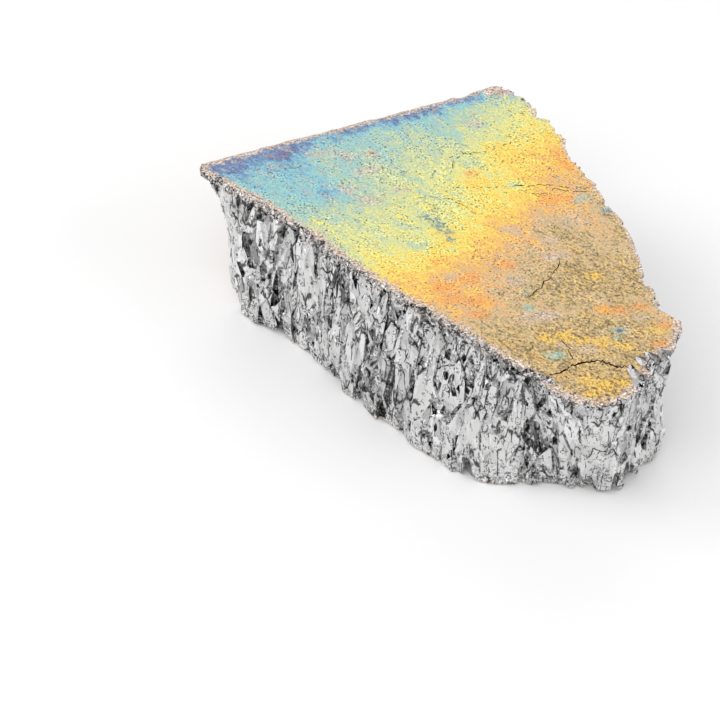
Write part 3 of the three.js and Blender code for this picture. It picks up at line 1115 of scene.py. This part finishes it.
def spots(points, places):
    """How much each point lies in any of some round spots, each given as x, y and radius in mm."""
    total = np.zeros(len(points))
    for x, y, radius in places:
        gaps = along_and_across(points) - along_and_across(np.array([(x, y)]) * mm)
        total = np.maximum(total, np.exp(-(gaps**2).sum(axis=1) / (radius * mm) ** 2))
    return total


def edge_distance(points, chain):
    """How far points are from a chain of points, measured level."""
    nearest = np.full(len(points), 1.0)
    for a, b in zip(chain[:-1], chain[1:]):
        side = b - a
        share = np.clip(((points - a) @ side) / (side @ side), 0, 1)
        nearest = np.minimum(nearest, np.linalg.norm(points - a - share[:, None] * side, axis=1))
    return nearest


def set_attribute(mesh, name, values):
    mesh.attributes.new(name, "FLOAT", "POINT").data.foreach_set("value", values)


level_xy = np.array([v.co.xy for v in chunk.data.vertices])
places = [place for _, group in OXIDE for place in group]
levels = [level for level, group in OXIDE for _ in group]
oxide = blend(level_xy, places, levels, OXIDE_REACH)
THIN_SPOTS = [
    (-26, -13.9, 1.8, 0.1),
    (-11.6, 10.5, 1.3, 0.12),
    (-3.4, -13.3, 1.3, 0.14),
    (1.8, -10.4, 0.9, 0.18),
    (-1.3, 11.4, 1.3, 0.16),
    (-46, -21.2, 2, 0.08),
    (-39.4, -12.5, 1.5, 0.08),
    (-20, -19, 0.5, 0.2),
]
for x, y, radius, thinner in THIN_SPOTS:
    oxide = oxide - thinner * spots(level_xy, [(x, y, radius)])
set_attribute(chunk.data, "oxide", oxide)
print("oxide between", round(oxide.min(), 2), "and", round(oxide.max(), 2))

# %% [markdown]
# ## Spots and distances
#
# Over the slow rainbow lie small spots where the film happened to be thicker or thinner: gold, red-gold
# and mauve flecks, a teal and a violet eye, a chain of blue. Each tint gets a number of its own on the
# skin. So do the worn patches, the two corners by the lip, and how far a point is from the lip and from
# the break.

# %% Store the spots
TINT_SPOTS = {
    "teal": [
        (34, -18.6, 1.5), (38.5, -5.9, 1.15), (39.5, -7.7, 0.6), (22.5, -12.6, 1), (10.6, 16.9, 1.3),
        (16.5, 18.4, 1.1), (19.4, -9.6, 0.6)
    ],
    "violet": [
        (38.5, -6.0, 0.55), (24.6, -10.6, 0.35)
    ],
    "blue": [
        (16.9, 18.2, 1.1), (-7.8, -6.9, 0.8), (-6, -6.8, 0.9), (-4.1, -6.9, 0.9), (-2.1, -7.4, 0.9),
        (-0.1, -8.2, 0.6)
    ],
    "gold": [
        (32.2, -13.7, 1.4), (35.6, -12, 1.3), (38.3, -10.2, 1.5), (41.6, -8.6, 1.2), (43.9, -1.2, 1.2),
        (45.1, -18.5, 2), (47.2, -15.6, 1.4), (41.9, -19.5, 1.3), (44.8, -21.6, 1), (33.3, -3.5, 1.2),
        (26, 2, 1.2), (30, -16.5, 1.2)
    ],
    "red_gold": [
        (-0.5, 24.2, 1.3), (1.8, 22.9, 1.5), (3.2, 22.4, 1.1), (6.5, 12.7, 1.6), (8.9, 15.6, 1.2),
        (7.3, -19.1, 1.8), (9.4, -13.9, 1.7), (12, -6.4, 1.4), (2, -14.4, 1.1), (33.3, -3.5, 1.4),
        (35.2, -1.8, 1.4), (37.3, 1.5, 1.2), (46.3, -3.8, 1.3), (43.9, 0.6, 1.2), (-9.4, 8.4, 1),
        (10.5, -20, 1.8), (14.5, -17.6, 1.8), (17, -20, 1.4)
    ],
    "mauve": [
        (24.7, -14.2, 2), (25.9, -12.3, 1.6), (37.7, -13.5, 1.3), (33.3, -16.1, 1), (39.3, -1, 1.2),
        (13.3, 11.2, 2.2), (8.7, 7.1, 1.4), (6.4, 1.2, 1.6), (15.9, -8.6, 2), (6.6, -15.8, 1.5),
        (13.7, 4.1, 1.6), (17.4, 1.9, 1.4)
    ],
}
for tint, tint_places in TINT_SPOTS.items():
    set_attribute(chunk.data, tint, spots(level_xy, tint_places))

WORN = [(-31.7, -4.5, 2.8), (-28, -0.5, 2), (-23.5, -10.7, 2.2), (-18.8, -10.2, 2.4), (-24.9, -4.2, 2.6),
        (-35.3, -7.8, 2), (-39.2, -16.2, 1), (-19, 20, 2), (-16.5, -4, 1.6), (26, -12, 2.4), (17, 1, 2.2)]
LIP_CORNERS = [(-50.3, -22.6, 2.2), (-21.8, 30.6, 2.2)]
set_attribute(chunk.data, "worn", spots(level_xy, WORN))
set_attribute(chunk.data, "corner", spots(level_xy, LIP_CORNERS))
print(sum(map(len, TINT_SPOTS.values())), "tinted spots")

# %% Store the distances
SPUR_X = 47 * mm
BACK_RUB_NARROWER = 1.1 * mm
lip_distance = lip_line - level_xy @ np.array(out_of_wall.xy)
set_attribute(chunk.data, "from_lip", lip_distance / mm)
back_start = next(
    number for number, (run, point) in enumerate(zip(edge_run, broken_edge))
    if way_out(run, 1 * mm).y > BACK_FACING and point[0] < SPUR_X
)
from_front = edge_distance(level_xy, broken_edge[: back_start + 1])
from_back = edge_distance(level_xy, broken_edge[back_start:]) + BACK_RUB_NARROWER
set_attribute(chunk.data, "from_break", np.minimum(from_front, from_back) / mm)
print("distances stored at", seconds())

# %% [markdown]
# ## How open each point is
#
# Light hardly gets into the gaps between grains. A shader could feel that with its own rays, but then
# nothing would be left of it when the finish is baked or shown elsewhere. So it is felt once, here:
# from each corner of the broken metal 14 short rays leave in an even fan, and the share of them that
# get away is stored.

# %% Feel how open each point is
RAYS = 14
GOLDEN_TURN = 2.39996
RAY_LENGTH = 1.6 * mm
OFF_THE_METAL = 0.03


def ray_fan():
    """Directions spread evenly over a half ball, each turned on from the last by the golden angle."""
    fan = []
    for i in range(RAYS):
        rise = (i + 0.5) / RAYS
        level = math.sqrt(1 - rise * rise)
        fan.append(Vector((level * math.cos(i * GOLDEN_TURN), level * math.sin(i * GOLDEN_TURN), rise)))
    return fan


def openness(mesh):
    """The share of short rays from each corner that get away without meeting the metal again."""
    tree = BVHTree.FromPolygons([v.co for v in mesh.vertices], [f.vertices for f in mesh.polygons])
    fan = ray_fan()
    on_broken = set()
    for face in mesh.polygons:
        if mesh.materials[face.material_index] == broken_metal:
            on_broken.update(face.vertices)
    result = np.ones(len(mesh.vertices))
    for number in on_broken:
        vertex = mesh.vertices[number]
        turned = vertex.normal.to_track_quat("Z", "Y").to_matrix()
        start = vertex.co + vertex.normal * OFF_THE_METAL * mm
        free = sum(tree.ray_cast(start, turned @ direction, RAY_LENGTH)[0] is None for direction in fan)
        result[number] = free / RAYS
    return result


set_attribute(chunk.data, "open", openness(chunk.data))
print("openness felt at", seconds())

# %% [markdown]
# ## Materials
#
# Both finishes are built from nodes that read the piece's own coordinates and the numbers stored on it.
# Drawn by hand, a node tree is boxes and wires. A small class with one short method for each kind of
# box lets the next cells say what is mixed with what.

# %% Node helpers
def paint(red, green, blue):
    """A colour, 0 to 255, as the linear light values that shaders use."""
    shares = [c / 255 for c in (red, green, blue)]
    return (*(share / 12.92 if share < 0.04 else ((share + 0.055) / 1.055) ** 2.4 for share in shares), 1)


def grey(value):
    return paint(value, value, value)


class Desk:
    """A material's node tree, with short names for the few kinds of node used here."""

    def __init__(self, material):
        material.use_nodes = True
        self.tree = material.node_tree
        self.shader = self.tree.nodes["Principled BSDF"]

    def wire(self, socket, value):
        """Joins a socket to another, or sets it to a plain value."""
        if isinstance(value, bpy.types.NodeSocket):
            self.tree.links.new(value, socket)
        elif value is not None:
            socket.default_value = value

    def node(self, kind, **inputs):
        """A new node with some of its inputs wired or set; from_min stands for the input From Min."""
        node = self.tree.nodes.new("ShaderNode" + kind)
        for name, value in inputs.items():
            self.wire(node.inputs[name.replace("_", " ").title()], value)
        return node

    def attribute(self, name):
        node = self.node("Attribute")
        node.attribute_name = name
        return node.outputs["Fac"]

    def places(self, turn=0, stretch=(1, 1, 1)):
        """The piece's coordinates, turned about up; a stretch under 1 draws a pattern out that way."""
        own = self.node("TexCoord").outputs["Object"]
        return self.node("Mapping", vector=own, rotation=(0, 0, turn), scale=stretch).outputs["Vector"]

    def height(self, vector):
        return self.node("SeparateXYZ", vector=vector).outputs["Z"]

    def noise(self, vector, size, detail=2, roughness=0.5):
        node = self.node("TexNoise", vector=vector, scale=1 / size, detail=detail, roughness=roughness)
        return node.outputs["Fac"]

    def cells(self, vector, size):
        """A pattern of cells: how far a point is from its cell's middle, and the cell's own random tint."""
        node = self.node("TexVoronoi", vector=vector, scale=1 / size)
        return node.outputs["Distance"], node.outputs["Color"]

    def grain_edges(self, vector, size):
        """How near the edge of its cell a point is, in parts of the cell's size."""
        node = self.node("TexVoronoi", vector=vector, scale=1 / size)
        node.feature = "DISTANCE_TO_EDGE"
        return node.outputs["Distance"]

    def maths(self, operation, a, b=None):
        node = self.node("Math")
        node.operation = operation
        self.wire(node.inputs[0], a)
        self.wire(node.inputs[1], b)
        return node.outputs[0]

    def times(self, a, b):
        return self.maths("MULTIPLY", a, b)

    def most(self, value, *others):
        """The largest of some values."""
        for other in others:
            value = self.maths("MAXIMUM", value, other)
        return value

    def shift(self, value, noise, amount):
        """A value moved up and down by a noise, by about a fifth of the amount either way."""
        return self.maths("ADD", value, self.times(self.maths("SUBTRACT", noise, 0.5), amount))

    def step(self, value, low, high):
        """0 below one value, 1 above the other and a smooth rise between; a falling pair turns it round."""
        node = self.node("MapRange", value=value, from_min=low, from_max=high)
        node.interpolation_type = "SMOOTHSTEP"
        return node.outputs["Result"]

    def ramp(self, value, stops):
        node = self.node("ValToRGB", fac=value)
        elements = node.color_ramp.elements
        while len(elements) < len(stops):
            elements.new(1.0)
        for element, (place, colour) in zip(elements, stops):
            element.position = place
            element.color = colour
        return node.outputs["Color"]

    def mix(self, share, a, b, kind="MIX"):
        node = self.node("Mix")
        node.data_type = "RGBA"
        node.blend_type = kind
        for number, value in ((0, share), (6, a), (7, b)):
            self.wire(node.inputs[number], value)
        return node.outputs[2]

    def vector_maths(self, operation, a, b=None, scale=None):
        node = self.node("VectorMath")
        node.operation = operation
        for socket, value in ((0, a), (1, b), ("Scale", scale)):
            if value is not None:
                self.wire(node.inputs[socket], value)
        return node.outputs["Vector"]

    def pushed(self, vector, tints, amount):
        """A vector moved by a colour, as if the colour were a direction."""
        push = self.vector_maths("SUBTRACT", tints, (0.5, 0.5, 0.5))
        return self.vector_maths("ADD", vector, self.vector_maths("SCALE", push, scale=amount))

    def bent(self, vector, size, amount):
        """Places pushed about by a noise, so that straight edges wander."""
        noise = self.node("TexNoise", vector=vector, scale=1 / size)
        return self.pushed(vector, noise.outputs["Color"], amount)

    def tipped(self, normal, tints, amount):
        """A surface direction tipped by each cell's own tint, so that every cell mirrors its own way."""
        return self.vector_maths("NORMALIZE", self.pushed(normal, tints, amount))

    def bump(self, height, distance, under=None):
        node = self.node("Bump", height=height, distance=distance, strength=1.0, normal=under)
        return node.outputs["Normal"]


# %% [markdown]
# ## The film of oxide
#
# Where the film is thin the skin is indigo and blue, and as it thickens it turns aqua, yellow, orange
# and at last olive. A colour ramp holds that order. Its input is the stored thickness, roughened by
# three sizes of noise: the slow one makes the borders wander, and the finest flecks every colour with
# its neighbours. The noise is drawn out along the flow lines, because the metal dragged its skin as it
# set. Beside the lip the film is thinner again.

# %% Lay the rainbow
TAN = paint(200, 178, 162)
skin = Desk(cast_skin)
plain = skin.places()
flow = skin.places(-FLOW, (0.4, 1, 1))
streaky = skin.places(-FLOW, (0.7, 1, 1))
patchy = skin.noise(skin.places(-FLOW, (0.6, 1, 1)), 1.9 * mm, 4, 0.6)
from_lip = skin.attribute("from_lip")
beside_lip = skin.step(skin.shift(from_lip, patchy, 9), 7, 2)
level = skin.maths("SUBTRACT", skin.attribute("oxide"), skin.times(beside_lip, 0.3))
level = skin.most(level, 0.1)
level = skin.shift(level, skin.noise(flow, 3.5 * mm, 4, 0.6), 0.3)
level = skin.shift(level, skin.noise(flow, 0.8 * mm), 0.3)
level = skin.shift(level, skin.noise(plain, 0.45 * mm, 1), 0.24)
rainbow = skin.ramp(level, [
    (0.0, paint(122, 112, 150)),
    (0.07, paint(100, 116, 162)),
    (0.16, paint(112, 158, 192)),
    (0.26, paint(138, 194, 204)),
    (0.37, paint(158, 198, 188)),
    (0.46, paint(192, 206, 166)),
    (0.57, paint(222, 220, 138)),
    (0.67, paint(244, 212, 94)),
    (0.76, paint(238, 188, 100)),
    (0.82, paint(222, 172, 116)),
    (0.87, paint(206, 184, 146)),
    (0.97, paint(186, 162, 108)),
])
print("rainbow laid from indigo to olive")

# %% [markdown]
# ## The olive end
#
# Where the film is thickest its colours repeat in a narrow band, and the skin is a fine speckle of
# brown, tan and gold. One noise gives the specks, a coarser one their hue, and two more lay gold veins
# and moss-brown patches over them.

# %% Speckle the thick film
specks = skin.ramp(skin.noise(streaky, 0.5 * mm, 1), [
    (0.3, paint(66, 50, 34)),
    (0.39, paint(120, 98, 66)),
    (0.46, paint(168, 144, 100)),
    (0.52, paint(194, 170, 126)),
    (0.58, paint(218, 176, 96)),
    (0.65, paint(236, 214, 138)),
    (0.72, paint(214, 152, 100)),
])
hues = skin.ramp(skin.noise(flow, 0.9 * mm, 2, 0.6), [
    (0.34, paint(170, 132, 112)),
    (0.43, paint(150, 136, 84)),
    (0.5, paint(188, 166, 118)),
    (0.57, paint(204, 184, 152)),
    (0.66, paint(226, 162, 88)),
])
olive = skin.step(level, 0.84, 0.98)
moss = skin.times(skin.step(skin.noise(flow, 2.1 * mm, 5, 0.7), 0.47, 0.36), olive)
veins = skin.times(skin.step(skin.noise(flow, 1.6 * mm, 5, 0.7), 0.54, 0.66), olive)
colour = skin.mix(olive, rainbow, skin.mix(0.36, specks, hues))
colour = skin.mix(skin.times(moss, 0.5), colour, paint(136, 118, 72))
colour = skin.mix(skin.times(veins, 0.4), colour, paint(238, 188, 88))

# %% Tint the spots
TINTS = [
    ("mauve", paint(200, 180, 160), 1.2 * mm, 1.6, 0.5),
    ("gold", paint(246, 198, 76), 0.5 * mm, 4.0, 0.62),
    ("red_gold", paint(238, 152, 70), 0.5 * mm, 3.2, 0.62),
    ("teal", paint(150, 192, 184), 0.6 * mm, 2.0, 0.6),
    ("blue", paint(70, 122, 148), 0.45 * mm, 7.0, 0.75),
    ("violet", paint(84, 60, 132), 0.4 * mm, 0.8, 0.9),
]
for name, tint, grain, fraying, strongest in TINTS:
    share = skin.attribute(name)
    frayed = skin.step(skin.shift(share, skin.noise(streaky, grain, 4, 0.75), fraying), 0.3, 0.85)
    in_the_spot = skin.step(share, 0.05, 0.4)
    colour = skin.mix(skin.times(skin.times(frayed, in_the_spot), strongest), colour, tint)
print(len(TINTS), "tints")

# %% [markdown]
# ## Rubbed edges and the cast side
#
# The film is rubbed off the lip, off the very edge of the break and off a few worn patches, and the
# bare skin there is a pinkish tan. Distances stored on the piece say where, and noise frays their
# borders. The side wall and the underside cooled against the mould, with a thin uneven film: tan, with
# violet and gold clouds.

# %% Rub the skin bare
fraying = skin.noise(plain, 0.9 * mm, 4, 0.65)
veil = skin.times(skin.step(skin.noise(flow, 1.3 * mm, 5, 0.7), 0.48, 0.66), skin.step(level, 0.55, 0.3))
colour = skin.mix(skin.times(veil, 0.6), colour, paint(184, 174, 162))
worn = skin.step(skin.shift(skin.attribute("worn"), skin.noise(flow, 1.1 * mm, 5, 0.7), 3), 0.5, 1.1)
at_the_lip = skin.step(skin.shift(from_lip, fraying, 6), 3.1, 2.1)
at_the_break = skin.step(skin.shift(skin.attribute("from_break"), fraying, 5), 2.2, 1.1)
corner_noise = skin.noise(plain, 0.8 * mm, 4, 0.65)
at_a_corner = skin.step(skin.shift(skin.attribute("corner"), corner_noise, 1.4), 0.3, 0.55)
rubbed = skin.most(skin.times(worn, 0.7), at_a_corner, at_the_lip, at_the_break)

# %% Colour the cast side
rough_height = skin.shift(skin.height(plain), skin.noise(plain, 2 * mm, 3), 2 * mm)
below = skin.step(rough_height, 28.6 * mm, 27.6 * mm)
clouds = skin.noise(skin.places(0, (1, 1, 1.6)), 9 * mm, 4, 0.6)
side_colour = skin.ramp(skin.shift(0.6, clouds, 2.6), [
    (0.1, paint(96, 110, 160)),
    (0.3, paint(142, 124, 158)),
    (0.45, paint(190, 150, 140)),
    (0.6, paint(200, 176, 152)),
    (0.8, paint(206, 180, 120)),
])
bare_below = skin.times(below, skin.step(skin.noise(plain, 2.4 * mm, 4, 0.65), 0.44, 0.56))
bare = skin.most(skin.times(rubbed, skin.maths("SUBTRACT", 1, below)), bare_below)
bare_colour = skin.ramp(skin.noise(plain, 0.4 * mm, 3, 0.6), [
    (0.34, paint(112, 92, 80)),
    (0.42, paint(176, 152, 134)),
    (0.5, TAN),
    (0.6, paint(232, 220, 210)),
])
colour = skin.mix(below, colour, side_colour)
colour = skin.mix(bare, colour, skin.mix(skin.times(below, 0.7), bare_colour, TAN))

# %% [markdown]
# ## Specks and pits
#
# Seen close, the skin is made of grains half a millimetre wide that catch the light one by one. A fine noise
# multiplies the colour with dark and light specks, painted shade and painted glints of those grains,
# strongly on the olive part and in rough patches and weakly elsewhere. Pits are the middles of a few cells
# of a cell pattern, painted dark as painted shade. The same fine scale is a bump, so that the sheen breaks
# up as well.

# %% Speck and pit the skin
# Painted shade and painted glints: dark specks below 1 and light specks above 1 multiply the colour.
speck_shade_and_glints = skin.ramp(skin.noise(skin.places(-FLOW, (0.88, 1, 1)), 0.36 * mm, 1), [
    (0.29, (0.16, 0.14, 0.12, 1)),
    (0.36, (0.62, 0.57, 0.5, 1)),
    (0.43, (0.93, 0.92, 0.9, 1)),
    (0.5, (1.02, 1.02, 1.02, 1)),
    (0.6, (1.18, 1.17, 1.15, 1)),
    (0.7, (1.5, 1.46, 1.36, 1)),
])
rough_patch = skin.step(skin.noise(flow, 2.6 * mm, 3, 0.6), 0.4, 0.62)
contrast = skin.maths("ADD", 0.32, skin.times(skin.most(skin.times(olive, 0.85), rough_patch), 0.68))
colour = skin.mix(contrast, colour, speck_shade_and_glints, "MULTIPLY")
from_pit, pit_chance = skin.cells(plain, 1.1 * mm)
pits = skin.times(skin.step(from_pit, 0.2, 0.12), skin.step(pit_chance, 0.5, 0.52))
# Pits are painted dark: painted shade in the pits.
colour = skin.mix(skin.times(pits, 0.8), colour, paint(60, 52, 50))
skin.wire(skin.shader.inputs["Base Color"], colour)
skin.wire(skin.shader.inputs["Normal"], skin.bump(skin.noise(plain, 0.5 * mm, 3, 0.6), 0.12 * mm))
skin.shader.inputs["Metallic"].default_value = 0.15
skin.shader.inputs["Roughness"].default_value = 0.42
print("skin:", len(skin.tree.nodes), "nodes")

# %% [markdown]
# ## Broken metal
#
# Bismuth breaks bright: silver with a breath of pink, each grain at its own angle to the light. The
# stored tone gives every grain its grey, which is painted shade and light for that angle, streaks run
# down it, and a cell pattern drawn out upwards divides it into plates that the geometry is too coarse
# to show, each a little lighter or darker as painted shade and light.

# %% Silver the grains
broken = Desk(broken_metal)
around = broken.places()
tone = broken.attribute("tone")
open_share = broken.attribute("open")
streaks = broken.noise(broken.places(0, (1, 1, 0.25)), 0.7 * mm, 4, 0.65)
plate_tint = broken.cells(broken.places(0.4, (1, 1, 0.4)), 1.5 * mm)[1]
on_a_ledge = broken.step(tone, 1.4, 1.9)
shade = broken.shift(broken.shift(tone, streaks, 0.22), plate_tint, 0.3)
shade = broken.maths("SUBTRACT", shade, broken.times(on_a_ledge, 1.95))
silver = broken.ramp(shade, [
    (0.0, paint(150, 150, 151)),
    (0.3, grey(200)),
    (0.65, paint(226, 226, 225)),
    (1.0, grey(244)),
])

# %% [markdown]
# ## Crumbled places
#
# In the gaps, along the foot, in patches and just under the skin the grains are crushed to crumbs too
# small to model. They are a fine noise with hard steps from black to white, painted reflections: the
# dark facets and glints that crumbs of mirror-bright metal show. At the two corners of the cast side they
# have rusted to brown, with the same painted glints.

# %% Crumble the metal
crumb_noise = broken.noise(broken.places(0, (1, 1, 0.7)), 0.42 * mm, 3, 0.7)
wandering = broken.noise(around, 2.6 * mm, 3, 0.6)
rise = broken.height(around)
# Painted reflections: the crumbs are painted black and white as if they mirrored dark and bright.
crumb_glints_and_shade = broken.ramp(crumb_noise, [
    (0.37, paint(18, 18, 19)),
    (0.42, paint(100, 100, 101)),
    (0.46, grey(206)),
    (0.54, grey(232)),
    (0.6, grey(255)),
])
rust_and_crumb_glints = broken.ramp(crumb_noise, [
    (0.38, paint(50, 40, 36)),
    (0.44, paint(172, 148, 132)),
    (0.52, paint(214, 194, 180)),
    (0.6, paint(250, 240, 232)),
])
in_a_gap = broken.step(broken.shift(open_share, wandering, 0.8), 0.6, 0.4)
in_a_patch = broken.step(wandering, 0.58, 0.63)
near_foot = broken.step(broken.shift(rise, wandering, 30 * mm), 4 * mm, 2 * mm)
near_top = broken.step(broken.shift(rise, crumb_noise, 5 * mm), 27.8 * mm, 28.8 * mm)
near_a_corner = broken.times(broken.step(broken.attribute("corner"), 0.1, 0.4),
                             broken.step(rise, 23 * mm, 27 * mm))
crumble = broken.times(broken.most(in_a_gap, in_a_patch, near_foot, near_top), broken.step(tone, 2, 1.4))
silver = broken.mix(broken.times(crumble, 0.85), silver, crumb_glints_and_shade)
warmed = broken.mix(1.0, silver, paint(236, 206, 188), "MULTIPLY")
silver = broken.mix(broken.times(near_top, 0.2), silver, warmed)
silver = broken.mix(broken.times(near_a_corner, 0.85), silver, rust_and_crumb_glints)

# %% [markdown]
# ## Seams and gaps
#
# Dark hairlines part the grains: painted shade of the thin crevices between them. Some are where a noise
# passes through its middle value, which gives wandering threads, and some are the borders of a cell
# pattern that is drawn out upwards and bent. The stored openness darkens the deep gaps, where light
# hardly gets in, and the cracks have a tone of their own.

# %% Draw the seams
thread_noise = broken.noise(broken.places(0, (1, 1, 0.45)), 1.8 * mm, 4, 0.65)
threads = broken.step(broken.maths("ABSOLUTE", broken.maths("SUBTRACT", thread_noise, 0.5)), 0.022, 0.008)
threads = broken.times(threads, broken.step(broken.noise(around, 1.5 * mm), 0.5, 0.55))
borders = broken.grain_edges(broken.bent(broken.places(0.3, (1, 1, 0.22)), 1.5 * mm, 1.3 * mm), 3 * mm)
border_share = broken.step(broken.noise(around, 2 * mm), 0.45, 0.53)
borders = broken.times(broken.step(borders, 0.045, 0.015), border_share)
painted_seam_shade = broken.most(threads, borders)
# Painted shade: the hairlines are painted near-black.
silver = broken.mix(broken.times(painted_seam_shade, 0.9), silver, paint(40, 40, 42))
gap_shade = broken.ramp(open_share, [
    (0.04, (0.06, 0.06, 0.06, 1)),
    (0.2, (0.5, 0.5, 0.5, 1)),
    (0.34, (1, 1, 1, 1)),
])
silver = broken.mix(1.0, silver, gap_shade, "MULTIPLY")
# Painted shade: the cracks are painted near-black.
silver = broken.mix(broken.step(tone, -1.5, -2), silver, paint(44, 38, 34))

# %% Tip the plates and crumbs
crumb_tint = broken.cells(broken.places(0, (1, 1, 0.8)), 0.5 * mm)[1]
facing = broken.node("NewGeometry").outputs["Normal"]
facing = broken.tipped(facing, plate_tint, 0.42)
facing = broken.tipped(facing, crumb_tint, broken.times(crumble, 1.3))
relief = broken.shift(streaks, painted_seam_shade, -0.6)
relief = broken.shift(relief, crumb_noise, broken.times(crumble, 1.6))
broken.wire(broken.shader.inputs["Base Color"], silver)
broken.wire(broken.shader.inputs["Normal"], broken.bump(relief, 0.1 * mm, under=facing))
broken.shader.inputs["Metallic"].default_value = 1.0
broken.shader.inputs["Roughness"].default_value = 0.38
print("broken metal:", len(broken.tree.nodes), "nodes")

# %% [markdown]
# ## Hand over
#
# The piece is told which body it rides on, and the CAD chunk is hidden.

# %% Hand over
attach(chunk, "root")
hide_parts("bismuth_chunk")
